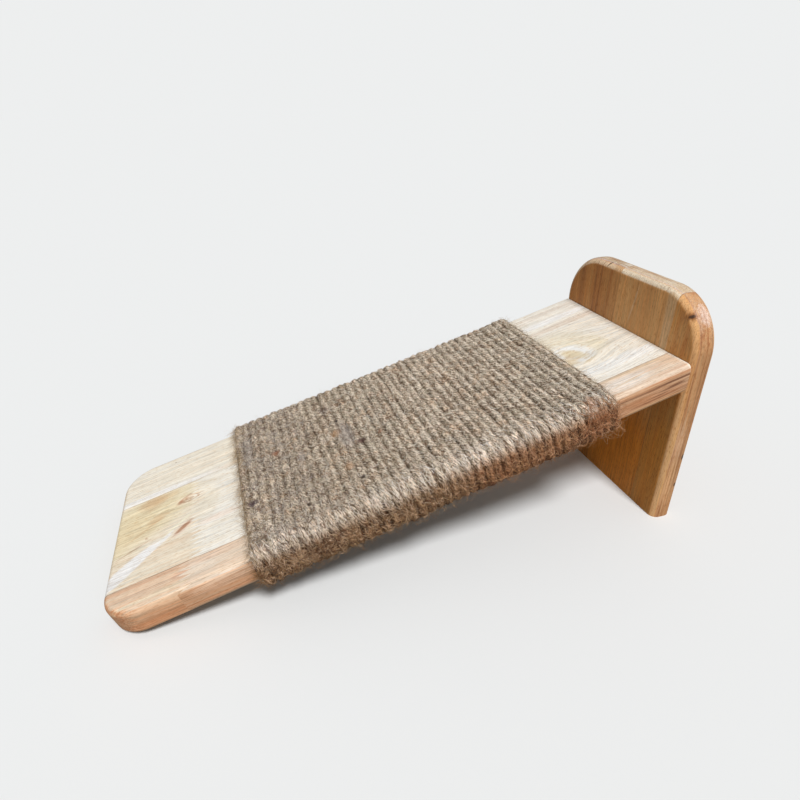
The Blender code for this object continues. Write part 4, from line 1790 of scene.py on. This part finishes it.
@dataclass(frozen=True)
class FibreLot:
    """A lot of fine fibres that have worked loose from the rope.

    Attributes:
        kind: Its name.
        finish: Their material.
        count: How many there are.
        reach: The least and greatest length.
        radius: The least and greatest radius.
        lift: How far they stand off, at most.
        stray: How far their direction strays from the rope's fibres, in degrees.
        turns: The stretch of the rope that they grow from, in turns.
        window: The stretch of each turn that they grow from, as shares of it.
        across: The least and greatest distance of their roots from the rope's centre line.
        curl: How far a fibre turns from its root to its tip, in radians.
        blur: How far the window's ends are spread, as a share of a turn.
        wobble: How far a fibre's direction wavers from point to point, in radians.
        taper: How much of its thickness it loses towards its tip.
        clearance: How high over the rope it lies, at least.
        points: How many points its centre line has.
        sides: How many sides it has.
    """

    kind: str
    finish: FibreFinish
    count: int
    reach: Point2
    radius: Point2
    lift: float
    stray: float
    turns: Point2 = (0.0, 41.0)
    window: Point2 = (0.20, 0.80)
    across: Point2 = (-0.003, 0.003)
    curl: float = 1.0
    blur: float = 0.0
    wobble: float = 0.3
    taper: float = 0.75
    clearance: float = 0.00003
    points: int = 7
    sides: int = 3

    def _paths(self, rope: RopeWinding, rng: np.random.Generator) -> Array:
        """Draw the fibres' centre lines.

        Args:
            rope: The rope that they grow from.
            rng: Where the random numbers come from.

        Returns:
            Points, as fibres by points by 3.
        """
        count = self.count
        share = np.linspace(0, 1, self.points)
        heading = rope.twist.value * rope.lay_angle
        heading = heading + rng.normal(0, math.radians(self.stray), count)
        heading = heading + math.pi * rng.integers(0, 2, count)
        angle = heading[:, None] + rng.normal(0, self.curl, count)[:, None] * share
        angle = angle + rng.normal(0, self.wobble, (count, self.points))
        step = rng.uniform(*self.reach, count)[:, None] / (self.points - 1)
        turn = np.floor(rng.uniform(*self.turns, count))
        start = rng.uniform(*self.window, count) + rng.normal(0, self.blur, count)
        start = (turn + start) * rope.girth
        root = rng.uniform(*self.across, count)
        travel = start[:, None] + np.cumsum(np.cos(angle) * step, 1)
        across = root[:, None] + np.cumsum(np.sin(angle) * step, 1)
        rise = self.lift * rng.random(count) ** 2.5
        arch = np.sin(share * math.pi * rng.uniform(0.5, 1, count)[:, None])
        height = self.clearance + rise[:, None] * arch
        points = rope.over(travel.ravel(), across.ravel(), height.ravel())
        return points.reshape(count, self.points, 3)

    def _add_maps(self, mesh: Mesh, rng: np.random.Generator) -> None:
        """Give every fibre a number in one map and a strip of its own in the map for baking.

        Args:
            mesh: The fibres, whose walls come first, fibre by fibre.
            rng: Where the random numbers come from.
        """
        count, steps = self.count, self.points - 1
        rows = math.ceil(math.sqrt(count))
        sizes = (count, steps, self.sides)
        number, step, side = np.meshgrid(*map(np.arange, sizes), indexing="ij")
        left, low = (number % rows) / rows, (number // rows) / rows
        cell = 0.9 / rows
        u = np.stack([left + cell * (side + i) / self.sides for i in (0, 1, 1, 0)], -1)
        v = np.stack([low + cell * (step + i) / steps for i in (0, 0, 1, 1)], -1)
        bake = np.zeros((len(mesh.loops), 2))
        bake[:u.size] = np.stack([u.ravel(), v.ravel()], -1)
        add_map(mesh, "OFBake", bake)
        hair = np.zeros((len(mesh.loops), 2))
        hair[:u.size, 0] = rng.random(count)[number.ravel()].repeat(4)
        add_map(mesh, "hair", hair)

    def build(self, rope: RopeWinding, seed: int) -> Object:
        """Grow, dress and place the fibres.

        Args:
            rope: The rope that they grow from.
            seed: Where their random numbers start.

        Returns:
            The lot as one piece.
        """
        rng = np.random.default_rng(seed)
        paths = self._paths(rope, rng)
        share = np.linspace(0, 1, self.points)
        thick = rng.uniform(*self.radius, self.count)
        radii = thick[:, None] * (1 - self.taper * share ** 2)
        name = "fibres_" + self.kind
        mesh = tubes(name, paths, radii, rng.normal(size=(self.count, 3)), self.sides)
        self._add_maps(mesh, rng)
        thing = new_object(name, mesh, rope.ramp.place)
        return finished(thing, self.finish.material(rope.ramp.width / 2))


TAR = (0.06, 0.04, 0.035)
RUST = (0.36, 0.15, 0.07)
SLATE = (0.34, 0.32, 0.33)


def rope_flecks() -> tuple[Smudge, ...]:
    """The coloured spots in the rope, and a patch of painted shade.

    Returns:
        The spots, by their place on the ramp.
    """
    return (
        Smudge((101, -32), (4.2, 3.6), (0.09, 0.05, 0.065), 0.9, ragged=1.2),
        Smudge((122, 14), (4, 4), RUST, 0.85, ragged=1.2),
        Smudge((168, 8), (5, 5), (0.55, 0.3, 0.13), 0.6, ragged=1.5),
        Smudge((182, -13), (4.2, 3.6), (0.14, 0.07, 0.06), 0.85, ragged=1.2),
        Smudge((197, -12), (2.4, 2.6), RUST, 0.7, ragged=1.2),
        Smudge((165, 46), (5, 6), (0.13, 0.08, 0.06), 0.75, ragged=1.6),
        Smudge((174, 2), (7, 22), SLATE, 0.45, ragged=1.8),
        Smudge((101, 32), (5, 24), SLATE, 0.4, ragged=1.8),
        Smudge((139, -2), (4, 7), SLATE, 0.4, ragged=1.8),
        Smudge((168, -36), (4, 5), (0.5, 0.26, 0.11), 0.55, ragged=1.6),
        Smudge((171, 24), (1.8, 2.6), TAR, 0.9),
        Smudge((174, -52), (2, 2), TAR, 0.9),
        Smudge((136, -56), (1.6, 2), TAR, 0.9),
        Smudge((179, 44), (1.6, 2), TAR, 0.9),
        # Painted shade in the dark hollow low on the near side, near the winding's front.
        Smudge((103, -80), (3, 5), TAR, 0.8, depth=(7, 5)),
        Smudge((133, -81), (14, 6), (0.16, 0.1, 0.06), 0.35, 0, 1.6, (9, 9)),
        Smudge((326, -75), (5, 8), RUST, 0.5, ragged=1.6),
    )


@dataclass
class FibreCoat:
    """All the loose fibres of the rope, in lots whose random numbers have one seed after another."""

    rope: RopeWinding
    flecks: tuple[Smudge, ...]
    first_seed: int = 101

    def lots(self) -> list[FibreLot]:
        """The lots of fibre, in the order that their seeds depend on.

        Returns:
            The lots.
        """
        straw = FibreFinish("straw_fibre", (
            (0.95, 0.89, 0.79), (0.86, 0.76, 0.62), (0.82, 0.74, 0.58)), flecks=self.flecks)
        # The silver shades are partly a painted sheen on the fibres along the winding's upper edges.
        silver = FibreFinish("silver_fibre", (
            (0.98, 0.94, 0.89), (0.93, 0.84, 0.75), (0.8, 0.71, 0.6)), (0.85, 0.7, 0.56), self.flecks)
        tan = FibreFinish("tan_fibre", (
            (0.52, 0.4, 0.29), (0.42, 0.36, 0.25), (0.48, 0.4, 0.32)), flecks=self.flecks)
        brown = FibreFinish("brown_fibre", (
            (0.1, 0.06, 0.035), (0.13, 0.09, 0.05), (0.24, 0.12, 0.065)))
        ash = FibreFinish("ash_fibre", (
            (0.62, 0.57, 0.53), (0.42, 0.35, 0.32), (0.25, 0.18, 0.14)), flecks=self.flecks)
        gold = FibreFinish("gold_fibre", (
            (0.6, 0.44, 0.25), (0.4, 0.25, 0.13), (0.72, 0.58, 0.38)))
        rust = FibreFinish("rust_fibre", (
            (0.42, 0.19, 0.08), (0.7, 0.44, 0.27), (0.55, 0.27, 0.13)), (1, 1, 1))
        side, front = (0.72, 0.81), (0, 10)
        short, usual, long = (0.003, 0.008), (0.003, 0.009), (0.003, 0.01)
        fine, crisp, thick = (0.00003, 0.00007), (0.0001, 0.0002), (0.00011, 0.00022)
        return [
            FibreLot("straw", straw, 3800, usual, crisp, 0.0006, 24, curl=0.7),
            FibreLot("wild", straw, 1500, (0.002, 0.008), crisp, 0.001, 70, curl=1.3),
            FibreLot("arris", silver, 1000, (0.004, 0.011), crisp, 0.0004, 9,
                     window=(0.7, 0.73), across=(-0.0019, 0.0017), curl=0.25, blur=0.012),
            FibreLot("tan", tan, 1600, usual, crisp, 0.0006, 24, curl=0.8),
            FibreLot("brown", brown, 4100, (0.002, 0.007), crisp, 0.0006, 30, curl=0.8),
            FibreLot("front", ash, 1300, usual, crisp, 0.0008, 60, (0, 9), curl=1.4),
            FibreLot("front_brown", brown, 900, short, crisp, 0.0007, 35, front),
            FibreLot("front_straw", straw, 700, usual, crisp, 0.001, 75, front),
            FibreLot("bridging", tan, 1500, (0.002, 0.005), crisp, 0.0004, 70, across=(0.0022, 0.0038)),
            FibreLot("side_straw", straw, 500, usual, thick, 0.002, 60, window=side, blur=0.01),
            FibreLot("side_brown", brown, 900, (0.003, 0.007), thick, 0.0012, 50,
                     window=side, blur=0.01),
            FibreLot("under", tan, 2600, usual, thick, 0.0007, 50, window=(0.8, 1.2)),
            FibreLot("stray", straw, 2200, (0.004, 0.013), fine, 0.005, 60),
            FibreLot("hanging", gold, 1800, (0.005, 0.014), fine, 0.006, 60, window=(0.74, 0.82)),
            FibreLot("front_edge", gold, 700, long, fine, 0.004, 70, (0, 1),
                     across=(-0.0045, -0.0015)),
            FibreLot("fringe", gold, 380, short, (0.00005, 0.00009), 0.003, 60,
                     (0, 1), across=(-0.0045, -0.002), curl=1.6),
            FibreLot("rear_edge", gold, 500, long, fine, 0.004, 70, (40, 41),
                     across=(0.0015, 0.0045)),
            FibreLot("tuft", straw, 45, (0.006, 0.013), (0.00006, 0.00011), 0.0075, 45,
                     (38.5, 41), (0.75, 0.79), curl=0.5),
            FibreLot("rust", rust, 230, (0.005, 0.012), crisp, 0.0035, 70, (37, 40.5), (0.715, 0.76)),
        ]

    def build(self) -> list[Object]:
        """Grow, dress and place every lot."""
        return [lot.build(self.rope, seed) for seed, lot in enumerate(self.lots(), self.first_seed)]


@dataclass
class RopeStaples:
    """Two wire staples that hold the rope's ends under the ramp, each a short way from its end."""

    rope: RopeWinding
    wire_radius: float = 0.0006
    depth: float = 0.008
    half_span: float = 0.00395
    from_end: float = 0.010
    bend: float = 0.0016
    bend_steps: int = 6
    sides: int = 12

    def _route(self, x: float, y: float) -> Array:
        """The centre line of one staple.

        Args:
            x: Its middle along the ramp.
            y: Its place across the ramp.

        Returns:
            Points from the tip of one leg to the tip of the other.
        """
        crown = -self.rope.seat - self.rope.radius - self.wire_radius
        inner = self.half_span - self.bend
        angles = np.linspace(0, math.pi / 2, self.bend_steps)
        near = [(x - inner - self.bend * math.cos(a), y, crown + self.bend - self.bend * math.sin(a))
                for a in angles]
        far = [(2 * x - px, y, pz) for px, _, pz in near[::-1]]
        legs = [(x - self.half_span, y, self.depth), (x + self.half_span, y, self.depth)]
        return np.array([legs[0], *near, *far, legs[1]])

    def build(self) -> list[Object]:
        """Build, dress and place both staples.

        Returns:
            The staples.
        """
        rope = self.rope
        material = PlatedSteel("zinc_staple").material()
        travels = {"front": self.from_end, "rear": rope.girth * rope.turns - self.from_end}
        pieces = []
        for where, travel in travels.items():
            none = np.zeros(1)
            x, y, _ = rope.point(np.array([travel]), none, none)[0]
            route = self._route(x, y)
            radii = np.full((1, len(route)), self.wire_radius)
            across = np.array([(0, 1, 0)])
            mesh = tubes("staple_" + where, route[None], radii, across, self.sides)
            thing = new_object("staple_" + where, mesh, rope.ramp.place)
            pieces.append(finished(thing, material, ["rope_staple_" + where]))
        return pieces


@dataclass
class WoodScrews:
    """Three countersunk screws through the board into the ramp's end.

    The fit is the clearance of their bores, which reach past the heads by the overrun. The dome
    is how far a head's top falls off at its rim.
    """

    stance: Stance
    diameter: float = 0.004
    length: float = 0.045
    tip: float = 0.006
    head: float = 0.008
    rim: float = 0.0004
    spacing: float = 0.040
    sink: float = 0.0003
    fit: float = 0.0003
    recess_span: float = 0.0044
    recess_arm: float = 0.0010
    recess_depth: float = 0.0018
    recess_wall: float = 0.00028
    dome: float = 0.00012
    face_rings: int = 30
    steps: int = 96
    bore_steps: int = 48
    overrun: float = 0.010

    def places(self) -> dict[str, Matrix]:
        """The frame of each screw, with its head up along Z.

        Returns:
            The frames, by where the screws are.
        """
        stance = self.stance
        joint = stance.ramp_top - stance.thickness / math.cos(stance.slope) / 2
        engaged = self.length + self.sink - stance.board_thickness
        height = joint - engaged / 2 * math.tan(stance.slope)
        back = stance.board_front + stance.board_thickness - self.sink
        turn = Matrix.Rotation(math.pi / 2, 4, "Y")
        return {where: Matrix.Translation((back, side * self.spacing, height)) @ turn
                for where, side in (("near", -1), ("middle", 0), ("far", 1))}

    def _profile(self, grow: float, above: float) -> list[Point2]:
        """Half the screw's section below its top face.

        Args:
            grow: The clearance all round.
            above: The height of the top.

        Returns:
            Radius and height, from the top down.
        """
        head, shank = self.head / 2 + grow, self.diameter / 2 + grow
        foot = -self.rim - (self.head - self.diameter) / 2 - grow / 2
        return [(0, above), (head, above), (head, -self.rim), (shank, foot),
                (shank, -self.length + self.tip), (0, -self.length - grow)]

    def bores(self) -> list[Mesh]:
        """The clearance round every screw, in the row's frame.

        Returns:
            One mesh for each screw.
        """
        meshes = []
        for where, place in self.places().items():
            bore = lathed("bore_" + where, self._profile(self.fit, self.overrun), self.bore_steps)
            bore.transform(place)
            meshes.append(bore)
        return meshes

    def _head_height(self, radius: float, angle: float) -> float:
        """The height of the head's top face, with its cross recess.

        Args:
            radius: Distance from the middle.
            angle: Angle round it.

        Returns:
            0 on the flat and less in the recess.
        """
        x, y = abs(radius * math.cos(angle)), abs(radius * math.sin(angle))
        long, short, wall = max(x, y), min(x, y), self.recess_wall
        side = min(1, max(0, (self.recess_arm / 2 + wall / 2 - short) / wall))
        end = min(1, max(0, (self.recess_span / 2 - long) / (self.recess_span / 4)))
        fall = self.dome * max(0, radius / (self.head / 2) - 0.85) / 0.15
        return -self.recess_depth * side * end - fall

    def _mesh(self, name: str) -> Mesh:
        """One screw with a pressed cross recess and a plain shank.

        Args:
            name: The mesh's name.

        Returns:
            The mesh.
        """
        rings = self.face_rings
        top = [(self.head / 2 * i / rings, 0) for i in range(1, rings)]
        profile = [(0, 0), *top, *self._profile(0, -self.dome)[1:]]
        mesh = lathed(name, profile, self.steps)
        mesh.vertices[0].co.z = -self.recess_depth
        for vert in mesh.vertices:
            radius = math.hypot(vert.co.x, vert.co.y)
            if vert.co.z == 0:
                vert.co.z = self._head_height(radius, math.atan2(vert.co.y, vert.co.x))
        mesh.shade_smooth()
        mesh.set_sharp_from_angle(angle=SHARP_ANGLE)
        return mesh

    def build(self) -> list[Object]:
        """Build, dress and place the screws.

        Returns:
            The screws.
        """
        material = PlatedSteel("zinc_screw").material()
        pieces = []
        for where, place in self.places().items():
            thing = new_object("screw_" + where, self._mesh("screw_" + where), place)
            pieces.append(finished(thing, material, ["wood_screw_" + where]))
        return pieces


@dataclass
class Studio:
    """A plain pale floor, one soft lamp and an even sky.

    The floor throws another colour back at the object than it shows. The lamp's level is its
    light on a surface square to it, as a share of a white one, and its softness its width as
    seen from the object, in degrees.
    """

    floor_colour: Colour = (0.82, 0.83, 0.83)
    floor_bounce: Colour = (0.30, 0.26, 0.21)
    floor_reach: float = 16.0
    lamp_level: float = 0.90
    lamp_heading: tuple[float, float, float] = (-0.02, 0.52, -0.85)
    lamp_softness: float = 14.0
    sky_level: float = 0.27

    def build(self) -> None:
        """Build the floor, the lamp and the sky."""
        sheet = Sheet("pale_floor", 0.9)
        rays = sheet.add("ShaderNodeLightPath", {}, {}, "Is Camera Ray")
        sheet.set("Base Color", sheet.mix(rays, self.floor_bounce, self.floor_colour))
        sheet.set("Specular IOR Level", 0)
        body = bmesh.new()
        bmesh.ops.create_grid(body, x_segments=8, y_segments=8, size=self.floor_reach)
        mesh = poured("floor", body)
        mesh.materials.append(sheet.material)
        new_object("floor", mesh)

        lamp = bpy.data.lights.new("soft_lamp", "SUN")
        lamp.energy = self.lamp_level * math.pi
        lamp.angle = math.radians(self.lamp_softness)
        holder = bpy.data.objects.new("soft_lamp", lamp)
        holder.rotation_mode = "QUATERNION"
        holder.rotation_quaternion = Vector(self.lamp_heading).to_track_quat("-Z", "Y")
        bpy.context.scene.collection.objects.link(holder)
        self._add_sky()

    def _add_sky(self) -> None:
        """Light the scene evenly, with the floor's brightness where the camera sees past it."""
        world = bpy.data.worlds.new("even_sky")
        bpy.context.scene.world = world
        world.use_nodes = True
        tree = world.node_tree
        fall = -Vector(self.lamp_heading).normalized().z
        level = self.sky_level + self.lamp_level * fall
        background = tree.nodes["Background"]
        background.inputs["Color"].default_value = (1, 1, 1, 1)
        background.inputs["Strength"].default_value = self.sky_level
        shown = tree.nodes.new("ShaderNodeBackground")
        shown.inputs["Color"].default_value = (*(part * level for part in self.floor_colour), 1)
        rays = tree.nodes.new("ShaderNodeLightPath")
        mixer = tree.nodes.new("ShaderNodeMixShader")
        tree.links.new(rays.outputs["Is Camera Ray"], mixer.inputs[0])
        tree.links.new(background.outputs[0], mixer.inputs[1])
        tree.links.new(shown.outputs[0], mixer.inputs[2])
        tree.links.new(mixer.outputs[0], tree.nodes["World Output"].inputs["Surface"])


@dataclass
class PhotoCamera:
    """The camera where the photograph was taken.

    It looks so many degrees to the right of +Y and down, and is rolled clockwise. The lens and
    the sensor are in millimetres.
    """

    place: tuple[float, float, float] = (-0.09680, -0.33360, 0.28207)
    heading: float = 16.985
    downward: float = 28.398
    roll: float = 0.362
    lens: float = 24.788
    sensor: float = 36.0

    def build(self) -> None:
        """Make the camera and look through it."""
        data = bpy.data.cameras.new("photo_camera")
        data.lens = self.lens
        data.sensor_width = self.sensor
        data.clip_start, data.clip_end = 0.01, 60
        holder = bpy.data.objects.new("photo_camera", data)
        turn = (Matrix.Rotation(math.radians(-self.heading), 4, "Z")
                @ Matrix.Rotation(math.radians(90 - self.downward), 4, "X")
                @ Matrix.Rotation(math.radians(-self.roll), 4, "Z"))
        holder.matrix_world = Matrix.Translation(self.place) @ turn
        bpy.context.scene.collection.objects.link(holder)
        bpy.context.scene.camera = holder


def report(pieces: Sequence[Object]) -> None:
    """Log the name, the number of faces and the material of each piece."""
    for piece in pieces:
        log.info("%s: %d faces, %s", piece.name, len(piece.data.polygons), piece.data.materials[0].name)


def main() -> None:
    """Build the scratcher and its studio, and report every piece."""
    bpy.context.scene.view_settings.view_transform = "Standard"
    PhotoCamera().build()
    Studio().build()

    stance = Stance()
    screws = WoodScrews(stance)
    bores = screws.bores()
    ramp = RampPanel(stance.ramp_frame, stance.length, stance.thickness, stance.rounding,
                     end_slope=stance.slope)
    board = UprightBoard(stance.board_frame, stance.board_height, stance.board_thickness)
    flecks = rope_flecks()
    jute = JuteFinish("jute", dark=(0.115, 0.075, 0.046), mid=(0.41, 0.298, 0.207),
                      olive=(0.375, 0.315, 0.225), light=(0.9, 0.785, 0.65),
                      side=(0.5, 0.355, 0.25), tilt=23, flecks=flecks)
    rope = RopeWinding(ramp, jute)
    report(ramp.build(bores))
    report(board.build(bores))
    report(screws.build())
    report(rope.build())
    report(FibreCoat(rope, flecks).build())
    report(RopeStaples(rope).build())


if __name__ == "__main__":
    main()
